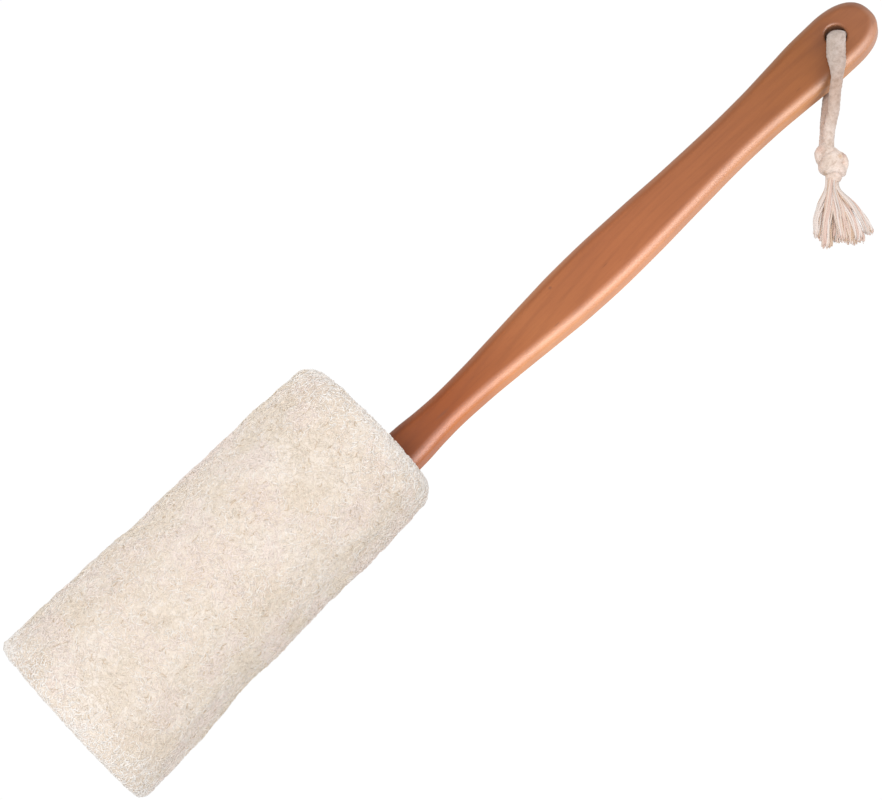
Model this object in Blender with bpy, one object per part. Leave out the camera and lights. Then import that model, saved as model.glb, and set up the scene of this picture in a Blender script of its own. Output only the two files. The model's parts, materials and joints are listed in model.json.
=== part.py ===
"""Loofah back scrubber: a dried luffa pad on a flat, waisted wooden handle with a knotted cotton hanging cord.

Bench frame while modelling: x runs from the luffa's free end to the handle's tip, y to the left of that
direction, z up from the surface that the scrubber lies on. The last step moves everything so that the
origin is at the middle of the footprint box of the handle and luffa, on that surface.
"""

import math

import bmesh
import bpy
import numpy as np
from mathutils import Matrix, Vector

for old in list(bpy.data.objects):
    bpy.data.objects.remove(old, do_unlink=True)

MM = 0.001
GAP = 0.3  # between pieces that touch

# ---- luffa pad (mm) ----
PAD_LENGTH = 159.0
PAD_RADII = ((0, 39.0), (20, 38.6), (45, 37.2), (80, 36.0), (110, 35.6), (135, 35.2), (160, 34.3))
PAD_Y = 0.65  # the pad's axis, to the left of the bench frame's
PAD_AXIS_Z0 = 37.2  # height of the pad's own axis at its free end
PAD_AXIS_SLOPE = -0.0267  # it lies on its side, so the axis falls towards the thin end
MAT_WALL = 4.0  # outer mat of fibres
FREE_EDGE_R = 3.0  # rounding at the free end
SHOULDER_R = 9.0  # rounding at the handle end
MOUTH_R = 28.2  # where the shoulder stops, round the handle
FREE_SKEW = 0.037  # the free end is cut a little off square: mm of x per mm of y
PAD_SIDES = 48

# core web: three septa between three seed channels
SEPTUM_HALF = 2.2
HUB_EXTRA = 3.5
SEPTUM_TURN = -52.0  # degrees, direction of the first septum seen along +x
CORE_X0, CORE_X1 = 2.5, 149.5

# ---- handle (mm) ----
TOTAL_LENGTH = 410.0
HANDLE_T = 11.0
HANDLE_FILLET = 3.0
TANG_X0 = 50.0
# (x, full width): parallel tang, flare at the pad's mouth, neck, belly, waist, end lobe
HANDLE_WIDTHS = (
    (50, 18.0), (100, 18.0), (145, 18.0), (165, 17.0), (175, 15.35), (185, 14.6), (198, 15.35), (215, 17.6),
    (235, 20.65), (250, 22.55), (265, 23.2), (285, 22.5), (310, 20.55), (335, 19.45), (350, 19.98), (365, 21.8),
    (380, 23.8), (391, 24.1),
)
# the centreline bows a little to one side: (x, y)
HANDLE_BOW = (
    (50, 0), (165, -0.12), (205, -0.12), (235, -0.27), (275, -0.5), (305, -0.38), (330, -0.1), (365, 0.05),
    (391, 0), (400, -0.2), (410, -0.4),
)
TIP_X, TIP_POWER = 391.0, 2.4  # the rounded end starts here
GRIP_X = (164.0, 368.0)  # the broad faces in the open, clear of the pad and of the cord
HANDLE_Y165, HANDLE_Z165 = -10.18, 17.4  # centreline at x = 165
HANDLE_X, HANDLE_Y, HANDLE_Z = 393.5, -14.77, 11.6  # centreline in the end lobe
HOLE_OFF_X, HOLE_OFF_Y = -0.5, 0.52  # the hanging hole from there, in the handle's own axes
HOLE_R, HOLE_LIP = 4.25, 1.0

# ---- glue round the tang (mm) ----
GLUE_WALL = 1.5
GLUE_X0, GLUE_X1 = 62.0, 138.0

# ---- hanging cord (mm) ----
CORD_D = 4.5
CORD_DIR = -138.8  # degrees in plan, from the hole to the knot
TURN_R = 9.0  # how tightly the cord turns through the hole, two diameters
TURN_S = 7.4  # the turn's centre, along the cord's direction from the hole's axis
KNOT_S, KNOT_Z, KNOT_R = 48.2, 6.45, 6.3
YARN_R0, YARN_R1 = 0.85, 1.30


def smooth(table, x):
    """A monotone cubic through the table's points."""
    xs = np.array([p[0] for p in table], float)
    ys = np.array([p[1] for p in table], float)
    h, d = np.diff(xs), np.diff(ys) / np.diff(xs)
    m = np.empty(len(xs))
    m[0], m[-1] = d[0], d[-1]
    for i in range(1, len(xs) - 1):
        if d[i - 1] * d[i] <= 0:
            m[i] = 0.0
        else:
            w1, w2 = 2 * h[i] + h[i - 1], h[i] + 2 * h[i - 1]
            m[i] = (w1 + w2) / (w1 / d[i - 1] + w2 / d[i])
    x = min(max(x, xs[0]), xs[-1])
    i = min(int(np.searchsorted(xs, x, side="right")) - 1, len(xs) - 2)
    t = (x - xs[i]) / h[i]
    return float(
        (1 + 2 * t) * (1 - t) ** 2 * ys[i]
        + t * (1 - t) ** 2 * h[i] * m[i]
        + t * t * (3 - 2 * t) * ys[i + 1]
        + t * t * (t - 1) * h[i] * m[i + 1]
    )


def material(name, rgb, rough, metallic=0.0):
    m = bpy.data.materials.new(name)
    m.use_nodes = True
    p = m.node_tree.nodes["Principled BSDF"]
    p.inputs["Base Color"].default_value = (*rgb, 1.0)
    p.inputs["Roughness"].default_value = rough
    p.inputs["Metallic"].default_value = metallic
    return m


def add(name, bm, mat, smooth_angle=None):
    """Puts a bmesh whose coordinates are in mm of the bench frame into the scene."""
    bmesh.ops.recalc_face_normals(bm, faces=bm.faces[:])
    bmesh.ops.scale(bm, vec=(MM, MM, MM), verts=bm.verts[:])
    me = bpy.data.meshes.new(name)
    bm.to_mesh(me)
    bm.free()
    me.materials.append(mat)
    ob = bpy.data.objects.new(name, me)
    bpy.context.scene.collection.objects.link(ob)
    if smooth_angle:
        me.shade_smooth()
        me.set_sharp_from_angle(angle=math.radians(smooth_angle))
    return ob


def skin(rings, close_ends):
    """A bmesh through rings of equal length. close_ends joins the last ring to the first (a tube wall) or caps both."""
    bm = bmesh.new()
    vs = [[bm.verts.new(p) for p in ring] for ring in rings]
    n = len(vs[0])
    pairs = list(zip(vs[:-1], vs[1:]))
    if close_ends == "loop":
        pairs.append((vs[-1], vs[0]))
    for a, b in pairs:
        for i in range(n):
            j = (i + 1) % n
            bm.faces.new((a[i], a[j], b[j], b[i]))
    if close_ends == "cap":
        bm.faces.new(vs[0])
        bm.faces.new(vs[-1])
    return bm


# ---------------------------------------------------------------- luffa pad
def pad_radius(x):
    return smooth(PAD_RADII, x)


def pad_axis_z(x):
    return PAD_AXIS_Z0 + PAD_AXIS_SLOPE * x


def pad_point(x, r, a, floor=None):
    """A point at radius r and angle a (from +y towards +z) in the pad's tilted cross-section at x."""
    z = pad_axis_z(x) + r * math.sin(a)
    if floor is not None:
        z = max(z, floor)
    y = r * math.cos(a)
    skew = FREE_SKEW * y * (1 - x / PAD_LENGTH)
    return Vector((x + skew - PAD_AXIS_SLOPE * r * math.sin(a), y + PAD_Y, z))


def mat_profile():
    """(x, r, outer?) round the mat's wall: along the outside, over the shoulder, back inside, over the free edge."""
    out = []
    for k in range(5):
        t = math.radians(90 - 22.5 * k)
        out.append((FREE_EDGE_R * (1 - math.cos(math.pi / 2 - t)), pad_radius(0) - FREE_EDGE_R * (1 - math.sin(math.pi / 2 - t)), True))
    out.sort()
    rc = pad_radius(PAD_LENGTH - SHOULDER_R) - SHOULDER_R
    last = math.asin((MOUTH_R - rc) / SHOULDER_R)
    x1 = PAD_LENGTH - SHOULDER_R * math.cos(last)
    for x in np.linspace(10, x1, 15):
        out.append((float(x), pad_radius(x), True))
    for k in range(1, 6):
        t = math.pi / 2 + (last - math.pi / 2) * k / 5
        out.append((x1 + SHOULDER_R * math.cos(t), rc + SHOULDER_R * math.sin(t), True))
    out += [(x1 + 5.8, MOUTH_R, False), (x1 + 3.8, MOUTH_R + 0.7, False), (x1 + 1.8, pad_radius(x1) - MAT_WALL - 0.6, False)]
    for x in np.linspace(x1 - 0.2, 4, 11):
        out.append((float(x), pad_radius(x) - MAT_WALL, False))
    out.append((0.0, pad_radius(0) - MAT_WALL + 0.2, False))
    return out


rings = []
angles = [2 * math.pi * k / PAD_SIDES for k in range(PAD_SIDES)]
for x, r, outer in mat_profile():
    rings.append([pad_point(x, r, a, 0.0 if outer else None) for a in angles])
M_luffa = material("luffa", (0.86, 0.76, 0.66), 0.9)
M_luffa_core = material("luffa_core", (0.80, 0.69, 0.56), 0.95)
outer_mat = add("luffa_outer_mat", skin(rings, "loop"), M_luffa, 40)


def star(r_out):
    """Outline of the core web's cross-section, (radius, angle), three septa reaching r_out."""
    pts = []
    for k in range(3):
        first = SEPTUM_TURN + 120 * k
        edge = math.degrees(math.asin(SEPTUM_HALF / (r_out - HUB_EXTRA)))
        for f in (0.0, 0.12, 0.27, 0.5, 0.73, 0.88, 1.0):
            phi = -60 + edge + (120 - 2 * edge) * f
            side = math.radians(60 - abs(phi))
            pts.append((min(r_out, SEPTUM_HALF / math.sin(side) + HUB_EXTRA), math.radians(first + 60 + phi)))
    return pts


rings = []
for x in np.linspace(CORE_X0, CORE_X1, 9):
    r_out = pad_radius(x) - MAT_WALL - GAP - 0.25
    rings.append([pad_point(x, r, a) for r, a in star(r_out)])
core = add("luffa_core", skin(rings, "cap"), M_luffa_core)

# ---------------------------------------------------------------- handle
yaw = math.atan2(HANDLE_Y - HANDLE_Y165, HANDLE_X - 165.0)
pitch = math.atan2(HANDLE_Z165 - HANDLE_Z, HANDLE_X - 165.0)
handle_turn = Matrix.Rotation(yaw, 3, "Z") @ Matrix.Rotation(pitch, 3, "Y")


def on_handle(x, y, z):
    """From the handle's own axes (x as in the table, y across, z through the thickness) to the bench frame."""
    return Vector((HANDLE_X, HANDLE_Y, HANDLE_Z)) + handle_turn @ Vector((x - HANDLE_X, y, z))


hole_centre = on_handle(HANDLE_X + HOLE_OFF_X, HOLE_OFF_Y, 0.0)
HOLE_X, HOLE_Y, HOLE_Z = hole_centre


def half_width(x):
    if x <= TIP_X:
        return smooth(HANDLE_WIDTHS, x) / 2
    t = min((x - TIP_X) / (TOTAL_LENGTH - TIP_X), 1.0)
    return HANDLE_WIDTHS[-1][1] / 2 * (1 - t**TIP_POWER) ** (1 / TIP_POWER)


xs = [float(x) for x in np.linspace(TANG_X0 + 9, 150, 8)]
xs += [float(x) for x in np.arange(156, TIP_X + 0.1, 5.0)]
tip = [TIP_X + (TOTAL_LENGTH - TIP_X) * math.sin(math.radians(a)) ** (2 / TIP_POWER) for a in (12, 24, 36, 48, 59, 69, 78, 85)]
side = [(x, half_width(x)) for x in xs + tip]
# the tang's hidden end is a plain half circle
side = [(TANG_X0 + 9 * (1 - math.cos(math.radians(a))), 9 * math.sin(math.radians(a))) for a in (12, 30, 48, 68)] + side
outline = [(TANG_X0, 0.0)] + side + [(TOTAL_LENGTH, 0.0)] + [(x, -w) for x, w in reversed(side)]
outline = [(x, y + smooth(HANDLE_BOW, x)) for x, y in outline]
bm = bmesh.new()
low = [bm.verts.new((x, y, -HANDLE_T / 2)) for x, y in outline]
high = [bm.verts.new((x, y, HANDLE_T / 2)) for x, y in outline]
n = len(outline)
# each broad face in three parts: the tang, the grip in the open, the end lobe with the hole
first = min(i for i in range(1, n // 2) if outline[i][0] >= GRIP_X[0])
last = max(i for i in range(1, n // 2) if outline[i][0] <= GRIP_X[1])
for flat in (low, high):
    bm.faces.new(flat[: first + 1] + flat[n - first :])
    bm.faces.new(flat[first : last + 1] + flat[n - last : n - first + 1])
    bm.faces.new(flat[last : n - last + 1])
for i in range(n):
    j = (i + 1) % n
    bm.faces.new((low[i], low[j], high[j], high[i]))
bmesh.ops.recalc_face_normals(bm, faces=bm.faces[:])
rim = [e for e in bm.edges if abs(e.verts[0].co.z - e.verts[1].co.z) < 1e-6 and any(abs(f.normal.z) < 0.5 for f in e.link_faces)]
bmesh.ops.bevel(bm, geom=rim, offset=HANDLE_FILLET, offset_type="OFFSET", segments=4, profile=0.5, affect="EDGES", clamp_overlap=False)
for v in bm.verts:
    v.co = on_handle(*v.co)
handle = add("handle", bm, material("wood_lacquered", (0.42, 0.15, 0.065), 0.35), 35)

# hanging hole with rounded lips, as a turned cutter
SIDES = 32
prof = [(-HANDLE_T / 2 - 2.0, HOLE_R + HOLE_LIP)]
for s in (-1, 1):
    arc = [(s * (HANDLE_T / 2 - HOLE_LIP + HOLE_LIP * math.sin(math.radians(a))), HOLE_R + HOLE_LIP * (1 - math.cos(math.radians(a)))) for a in (0, 30, 60, 90)]
    prof += arc[::-1] if s < 0 else arc
prof.append((HANDLE_T / 2 + 2.0, HOLE_R + HOLE_LIP))
rings = [[on_handle(HANDLE_X + HOLE_OFF_X + r * math.cos(2 * math.pi * k / SIDES), HOLE_OFF_Y + r * math.sin(2 * math.pi * k / SIDES), z) for k in range(SIDES)] for z, r in prof]
cutter = add("hole_cutter", skin(rings, "cap"), M_luffa)
cutter.hide_render = True
cutter.display_type = "WIRE"
cut = handle.modifiers.new("hanging_hole", "BOOLEAN")
cut.operation, cut.solver, cut.object = "DIFFERENCE", "EXACT", cutter

# ---------------------------------------------------------------- glue sleeve
def sleeve_ring(x, extra):
    a, b, c = 9.0 + extra, HANDLE_T / 2 + extra, 1.2 + extra
    pts = [(a, b - c), (a - c, b), (c - a, b), (-a, b - c), (-a, c - b), (c - a, -b), (a - c, -b), (a, c - b)]
    return [on_handle(x, y, z) for y, z in pts]


outer, inner = GAP + GLUE_WALL, GAP
rings = [sleeve_ring(x, outer) for x in np.linspace(GLUE_X0, GLUE_X1, 5)] + [sleeve_ring(x, inner) for x in np.linspace(GLUE_X1, GLUE_X0, 5)]
glue = add("tang_glue", skin(rings, "loop"), material("glue", (0.75, 0.66, 0.45), 0.4))

# ---------------------------------------------------------------- hanging cord
ca, sa = math.cos(math.radians(CORD_DIR)), math.sin(math.radians(CORD_DIR))


def cord_point(s, w, z):
    """s along the cord's direction from the hole's axis, w to its right seen from above, z above the surface."""
    return Vector((HOLE_X + s * ca - w * sa, HOLE_Y + s * sa + w * ca, z))


def spline(points, step):
    """Catmull-Rom (centripetal) through the points, read every step mm."""
    p = [Vector(q) for q in points]
    p = [2 * p[0] - p[1]] + p + [2 * p[-1] - p[-2]]
    fine = []
    for i in range(1, len(p) - 2):
        t = [0.0]
        for k in range(3):
            t.append(t[-1] + max((p[i + k] - p[i + k - 1]).length, 1e-6) ** 0.5)
        for k in range(24):
            u = t[1] + (t[2] - t[1]) * k / 24
            a1 = (t[1] - u) / (t[1] - t[0]) * p[i - 1] + (u - t[0]) / (t[1] - t[0]) * p[i]
            a2 = (t[2] - u) / (t[2] - t[1]) * p[i] + (u - t[1]) / (t[2] - t[1]) * p[i + 1]
            a3 = (t[3] - u) / (t[3] - t[2]) * p[i + 1] + (u - t[2]) / (t[3] - t[2]) * p[i + 2]
            b1 = (t[2] - u) / (t[2] - t[0]) * a1 + (u - t[0]) / (t[2] - t[0]) * a2
            b2 = (t[3] - u) / (t[3] - t[1]) * a2 + (u - t[1]) / (t[3] - t[1]) * a3
            fine.append((t[2] - u) / (t[2] - t[1]) * b1 + (u - t[1]) / (t[2] - t[1]) * b2)
    fine.append(p[-2])
    run = [0.0]
    for a, b in zip(fine[:-1], fine[1:]):
        run.append(run[-1] + (b - a).length)
    n = max(2, round(run[-1] / step))
    out = []
    for k in range(n + 1):
        d = run[-1] * k / n
        i = min(max(int(np.searchsorted(run, d)), 1), len(fine) - 1)
        f = (d - run[i - 1]) / max(run[i] - run[i - 1], 1e-9)
        out.append(fine[i - 1].lerp(fine[i], f))
    return out, run[-1]


def tube(name, points, radius, mat, resolution=2, radii=None):
    cu = bpy.data.curves.new(name, "CURVE")
    cu.dimensions = "3D"
    cu.bevel_depth = radius * MM
    cu.bevel_resolution = resolution
    cu.use_fill_caps = True
    cu.twist_mode = "MINIMUM"
    sp = cu.splines.new("POLY")
    sp.points.add(len(points) - 1)
    for i, q in enumerate(points):
        sp.points[i].co = (q[0] * MM, q[1] * MM, q[2] * MM, 1.0)
        if radii:
            sp.points[i].radius = radii[i] / radius
    cu.materials.append(mat)
    ob = bpy.data.objects.new(name, cu)
    bpy.context.scene.collection.objects.link(ob)
    return ob


M_cord = material("cotton_cord", (0.78, 0.68, 0.60), 0.95)
CZ = HOLE_Z
loop_route = [(42.2, -3.1, 2.6), (36, -3.2, 2.55), (29, -3.2, 2.5), (21, -2.8, 2.5), (14, -1.8, 2.5)]
for a in (-90, -120, -150, 180, 150, 120, 90):
    t = math.radians(a)
    loop_route.append((TURN_S + TURN_R * math.cos(t), -0.9 + 1.3 * (abs((a if a > 0 else a + 360) - 270) / 180), CZ + TURN_R * math.sin(t)))
loop_route += [
    (13, 0.8, 20.8), (18, 1.0, 20.4), (22, 1.1, 18.7), (25.5, 0.95, 15.7), (29, 0.4, 12.3), (32.5, -0.55, 9.6),
    (36, -1.25, 8.0), (39.2, -1.5, 7.45), (41.0, -1.5, 7.35),
]
loop_points, loop_length = spline([cord_point(*q) for q in loop_route], 2.9)
pivot = bpy.data.objects.new("hang_cord_pivot", None)
pivot.location = (HOLE_X * MM, HOLE_Y * MM, HOLE_Z * MM)
bpy.context.scene.collection.objects.link(pivot)
cord_parts = [tube("cord_loop", loop_points, CORD_D / 2, M_cord, 3)]

# the knot: a rounded lump with two wrapped turns standing proud of it
bm = bmesh.new()
rings = []
ROWS, COLS = 15, 24
for i in range(1, ROWS):
    lat = math.pi * i / ROWS
    ring = []
    for k in range(COLS):
        lon = 2 * math.pi * k / COLS
        r = KNOT_R * (0.94 + 0.06 * math.cos(2 * lat * 2.0 + lon))
        ring.append(cord_point(KNOT_S - r * math.cos(lat), r * math.sin(lat) * math.cos(lon), max(KNOT_Z + r * math.sin(lat) * math.sin(lon), 0.15)))
    rings.append(ring)
cord_parts.append(add("cord_knot", skin(rings, "cap"), M_cord, 60))

# the frayed tail: bundles of yarn leave the knot together and fan out over the surface
NECK_S = KNOT_S + KNOT_R + 0.35
neck = [(0.4 + 2.35 * math.cos(math.radians(a)), 3.6 + 2.35 * math.sin(math.radians(a))) for a in (154.3, 205.7, 102.9, 257.1)]
neck += [(0.4, 3.6)]
neck += [(0.4 + 2.35 * math.cos(math.radians(a)), 3.6 + 2.35 * math.sin(math.radians(a))) for a in (51.4, 308.6, 0.0)]
# (s, w, z) of the bundles' ends, from the left edge of the fan to the right
ends = [(77.6, -4.8, 2.4), (79.2, -2.1, 1.6), (82.4, -0.4, 3.6), (80.0, 3.2, 1.6), (79.8, 5.8, 3.2), (80.2, 8.9, 1.6), (79.2, 11.9, 2.8), (75.8, 15.3, 1.6)]
hang = (0.70, 0.76, 0.82, 0.9, 0.9, 0.92, 0.93, 0.93)  # from this share of its length on, the bundle hangs straight


def fan(t, stop):
    """0 in the neck, 1 where the bundle hangs straight."""
    u = min(max((t - 0.09) / (stop - 0.09), 0.0), 1.0)
    return 0.5 * u * u * (3 - 2 * u) + 0.5 * u


STEPS = 10
rows = []
for k in range(STEPS + 1):
    t = k / STEPS
    row = [[NECK_S + (s1 - NECK_S) * t, w0 + (w1 - w0) * fan(t, stop), z0 + (z1 - z0) * t] for (w0, z0), (s1, w1, z1), stop in zip(neck, ends, hang)]
    r = YARN_R0 + (YARN_R1 - YARN_R0) * t
    # neighbouring bundles push each other aside and rest on the surface
    for _ in range(60 if k else 0):
        for i in range(len(row)):
            for j in range(i):
                dw, dz = row[i][1] - row[j][1], row[i][2] - row[j][2]
                far = max(math.hypot(dw, dz), 1e-6)
                push = (2 * r + 0.32 - far) / 2
                if push > 0:
                    row[i][1] += push * dw / far
                    row[i][2] += push * dz / far
                    row[j][1] -= push * dw / far
                    row[j][2] -= push * dz / far
        for q in row:
            q[2] = max(q[2], r + 0.12)
    rows.append(row)
for i in range(len(neck)):
    pts = [cord_point(*row[i]) for row in rows]
    radii = [YARN_R0 + (YARN_R1 - YARN_R0) * k / STEPS for k in range(STEPS + 1)]
    cord_parts.append(tube(f"tassel_yarn_{i + 1}", pts, YARN_R1, M_cord, 2, radii))

# ---------------------------------------------------------------- placing
bpy.context.view_layer.update()
dg = bpy.context.evaluated_depsgraph_get()
corners = []
for ob in (outer_mat, core, handle, glue):
    me = ob.evaluated_get(dg).to_mesh()
    corners += [ob.matrix_world @ v.co for v in me.vertices]
    ob.evaluated_get(dg).to_mesh_clear()
lo = [min(c[i] for c in corners) for i in range(3)]
hi = [max(c[i] for c in corners) for i in range(3)]
shift = Vector((-(lo[0] + hi[0]) / 2, -(lo[1] + hi[1]) / 2, -lo[2]))
for ob in [outer_mat, core, handle, cutter, glue, pivot]:
    ob.location = ob.location + shift
for ob in cord_parts:
    ob.parent = pivot
    ob.matrix_parent_inverse = Matrix.Translation(-Vector((HOLE_X, HOLE_Y, HOLE_Z)) * MM)
bpy.context.view_layer.update()
print("shift_mm", [round(c * 1000, 4) for c in shift], "box_mm", [round((h - l) * 1000, 3) for l, h in zip(lo, hi)])
print("pivot_m", [round(c, 6) for c in pivot.matrix_world.translation], "loop_length_mm", round(loop_length, 2))
face = handle_turn @ Vector((0, 0, 1))
grip = on_handle(260.1, -2.9, HANDLE_T / 2) * MM + shift
back = on_handle(260.1, -2.9, -HANDLE_T / 2) * MM + shift
print("handle_normal", [round(c, 6) for c in face], "top", [round(c, 6) for c in grip], "under", [round(c, 6) for c in back])
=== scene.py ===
"""Looks of the loofah back scrubber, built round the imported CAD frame. Row frame, metres; helpers work in mm of the bench frame."""

import json
import math

import bmesh
import bpy
import numpy as np
from mathutils import Matrix, Vector


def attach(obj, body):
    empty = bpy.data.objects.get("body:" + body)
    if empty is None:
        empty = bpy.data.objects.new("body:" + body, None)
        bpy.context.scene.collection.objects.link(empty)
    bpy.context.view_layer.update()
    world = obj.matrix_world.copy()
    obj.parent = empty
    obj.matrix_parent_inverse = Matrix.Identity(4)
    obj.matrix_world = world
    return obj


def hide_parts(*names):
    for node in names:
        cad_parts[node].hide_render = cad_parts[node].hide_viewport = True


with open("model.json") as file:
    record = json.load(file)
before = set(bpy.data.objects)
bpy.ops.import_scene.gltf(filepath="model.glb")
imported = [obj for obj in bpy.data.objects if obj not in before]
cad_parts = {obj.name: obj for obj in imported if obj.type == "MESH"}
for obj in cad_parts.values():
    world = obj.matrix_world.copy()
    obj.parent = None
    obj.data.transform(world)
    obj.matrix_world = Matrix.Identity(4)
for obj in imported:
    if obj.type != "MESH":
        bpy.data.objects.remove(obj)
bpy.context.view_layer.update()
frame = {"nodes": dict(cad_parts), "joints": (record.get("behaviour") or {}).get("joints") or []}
MM = 0.001
D = bpy.data
SCN = bpy.context.scene

# ------------------------------------------------------------------ the bench frame, as in the CAD
LOBE = Vector((393.5, -14.77, 11.6))  # the handle's centreline in its end lobe
YAW = math.atan2(LOBE.y + 10.18, LOBE.x - 165.0)
PITCH = math.atan2(17.4 - LOBE.z, LOBE.x - 165.0)
TURN = Matrix.Rotation(YAW, 3, "Z") @ Matrix.Rotation(PITCH, 3, "Y")
HOLE_OFF = (-0.5, 0.52)
HOLE = LOBE + TURN @ Vector((*HOLE_OFF, 0.0))
PIVOT = Vector(frame["joints"][0]["pos_m"]) * 1000
SHIFT = PIVOT - HOLE  # bench mm -> row mm
TOTAL_LENGTH, HANDLE_T, FILLET, FILLET_IN = 410.0, 11.0, 3.0, 4.0
TANG_X0 = 50.0
WIDTHS = (
    (50, 18.0), (100, 18.0), (145, 18.0), (165, 17.0), (175, 15.35), (185, 14.6), (198, 15.35), (215, 17.6),
    (235, 20.65), (250, 22.55), (265, 23.2), (285, 22.5), (310, 20.55), (335, 19.45), (350, 19.98), (365, 21.8),
    (380, 23.8), (391, 24.1),
)
BOW = (
    (50, 0), (165, -0.12), (205, -0.12), (235, -0.27), (275, -0.5), (305, -0.38), (330, -0.1), (365, 0.05),
    (391, 0), (400, -0.2), (410, -0.4),
)
TIP_X, TIP_POWER = 391.0, 2.4
PAD_LENGTH, PAD_Y, FREE_SKEW = 159.0, 0.65, 0.037
PAD_RADII = ((0, 39.0), (20, 38.6), (45, 37.2), (80, 36.0), (110, 35.6), (135, 35.2), (160, 34.3))
AXIS_Z0, AXIS_SLOPE = 37.2, -0.0267
EDGE_R, SHOULDER_R, MOUTH_R, WALL = 3.0, 9.0, 28.2, 4.0
SEPTUM_TURN = -52.0
CORE_X0, CORE_X1 = 2.5, 149.5
CORD_D, CORD_DIR = 4.5, -138.8
TURN_R, TURN_S = 9.0, 7.4
KNOT_S, KNOT_Z, KNOT_R = 48.2, 6.45, 6.3


def smooth(table, x):
    """Monotone cubic through the table's points, for arrays."""
    xs = np.array([p[0] for p in table], float)
    ys = np.array([p[1] for p in table], float)
    h, d = np.diff(xs), np.diff(ys) / np.diff(xs)
    m = np.empty(len(xs))
    m[0], m[-1] = d[0], d[-1]
    for i in range(1, len(xs) - 1):
        if d[i - 1] * d[i] <= 0:
            m[i] = 0.0
        else:
            w1, w2 = 2 * h[i] + h[i - 1], h[i] + 2 * h[i - 1]
            m[i] = (w1 + w2) / (w1 / d[i - 1] + w2 / d[i])
    x = np.clip(np.asarray(x, float), xs[0], xs[-1])
    i = np.clip(np.searchsorted(xs, x, side="right") - 1, 0, len(xs) - 2)
    t = (x - xs[i]) / h[i]
    return (1 + 2 * t) * (1 - t) ** 2 * ys[i] + t * (1 - t) ** 2 * h[i] * m[i] + t * t * (3 - 2 * t) * ys[i + 1] + t * t * (t - 1) * h[i] * m[i + 1]


def pad_place(x, y, z):
    """The pad's own axes (x along it, y and z across it from its middle) to bench mm."""
    return np.stack([x + FREE_SKEW * y * (1 - x / PAD_LENGTH) - AXIS_SLOPE * z, y + PAD_Y, AXIS_Z0 + AXIS_SLOPE * x + z], -1)


def to_row(p):
    """Bench mm (array) to row metres."""
    return (np.asarray(p, float) + np.array(SHIFT)) * MM


def new_object(name, verts, faces, mat, body=None, shade=True, sharp=None):
    me = D.meshes.new(name)
    me.from_pydata([tuple(v) for v in verts], [], faces)
    me.update()
    ob = D.objects.new(name, me)
    SCN.collection.objects.link(ob)
    if mat is not None:
        me.materials.append(mat)
    if shade:
        me.shade_smooth()
    if sharp:
        me.set_sharp_from_angle(angle=math.radians(sharp))
    if body:
        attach(ob, body)
    return ob


def fast_mesh(name, verts, quads, mat, body, tris=None):
    """A smooth mesh from arrays: verts (n, 3) in row metres, quads (m, 4), tris (k, 3)."""
    me = D.meshes.new(name)
    nq = 0 if quads is None else len(quads)
    nt = 0 if tris is None else len(tris)
    loops = np.concatenate([q.reshape(-1) for q in (quads, tris) if q is not None and len(q)]).astype(np.int32)
    me.vertices.add(len(verts))
    me.vertices.foreach_set("co", np.asarray(verts, np.float32).reshape(-1))
    me.loops.add(len(loops))
    me.loops.foreach_set("vertex_index", loops)
    me.polygons.add(nq + nt)
    starts = np.concatenate([np.arange(nq) * 4, nq * 4 + np.arange(nt) * 3]).astype(np.int32)
    me.polygons.foreach_set("loop_start", starts)
    me.update(calc_edges=True)
    me.validate()
    me.shade_smooth()
    me.materials.append(mat)
    ob = D.objects.new(name, me)
    SCN.collection.objects.link(ob)
    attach(ob, body)
    return ob


# ------------------------------------------------------------------ node helpers
def new_material(name):
    m = D.materials.new(name)
    m.use_nodes = True
    nt = m.node_tree
    return m, nt, nt.nodes["Principled BSDF"]


def node(nt, kind, **sets):
    n = nt.nodes.new(kind)
    for k, v in sets.items():
        if k in ("inputs",):
            for i, val in v.items():
                n.inputs[i].default_value = val
        else:
            setattr(n, k, v)
    return n


def coords(nt, scale=(1000, 1000, 1000), rotation=(0, 0, 0)):
    tc = node(nt, "ShaderNodeTexCoord")
    mp = node(nt, "ShaderNodeMapping")
    mp.inputs["Scale"].default_value = scale
    mp.inputs["Rotation"].default_value = rotation
    nt.links.new(tc.outputs["Object"], mp.inputs["Vector"])
    return mp.outputs["Vector"]


def noise_tex(nt, vec, scale, detail=3, rough=0.5, distortion=0.0):
    n = node(nt, "ShaderNodeTexNoise")
    n.inputs["Scale"].default_value = scale
    n.inputs["Detail"].default_value = detail
    n.inputs["Roughness"].default_value = rough
    n.inputs["Distortion"].default_value = distortion
    nt.links.new(vec, n.inputs["Vector"])
    return n.outputs["Fac"]


def ramp(nt, fac, stops, interpolation="LINEAR"):
    n = node(nt, "ShaderNodeValToRGB")
    n.color_ramp.interpolation = interpolation
    els = n.color_ramp.elements
    while len(els) < len(stops):
        els.new(0.5)
    for e, (p, c) in zip(els, stops):
        e.position = p
        e.color = (*c, 1.0) if len(c) == 3 else c
    nt.links.new(fac, n.inputs["Fac"])
    return n.outputs["Color"]


def mix(nt, kind, fac, a, b):
    n = node(nt, "ShaderNodeMix", data_type="RGBA", blend_type=kind)
    for sock, val in ((n.inputs[0], fac), (n.inputs[6], a), (n.inputs[7], b)):
        if isinstance(val, (int, float)):
            sock.default_value = val
        elif isinstance(val, (tuple, list)):
            sock.default_value = (*val, 1.0) if len(val) == 3 else val
        else:
            nt.links.new(val, sock)
    return n.outputs[2]


def maths(nt, op, a, b=None, clamp=False):
    n = node(nt, "ShaderNodeMath", operation=op, use_clamp=clamp)
    for sock, val in zip(n.inputs, (a, b)):
        if val is None:
            continue
        if isinstance(val, (int, float)):
            sock.default_value = val
        else:
            nt.links.new(val, sock)
    return n.outputs[0]


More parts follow.
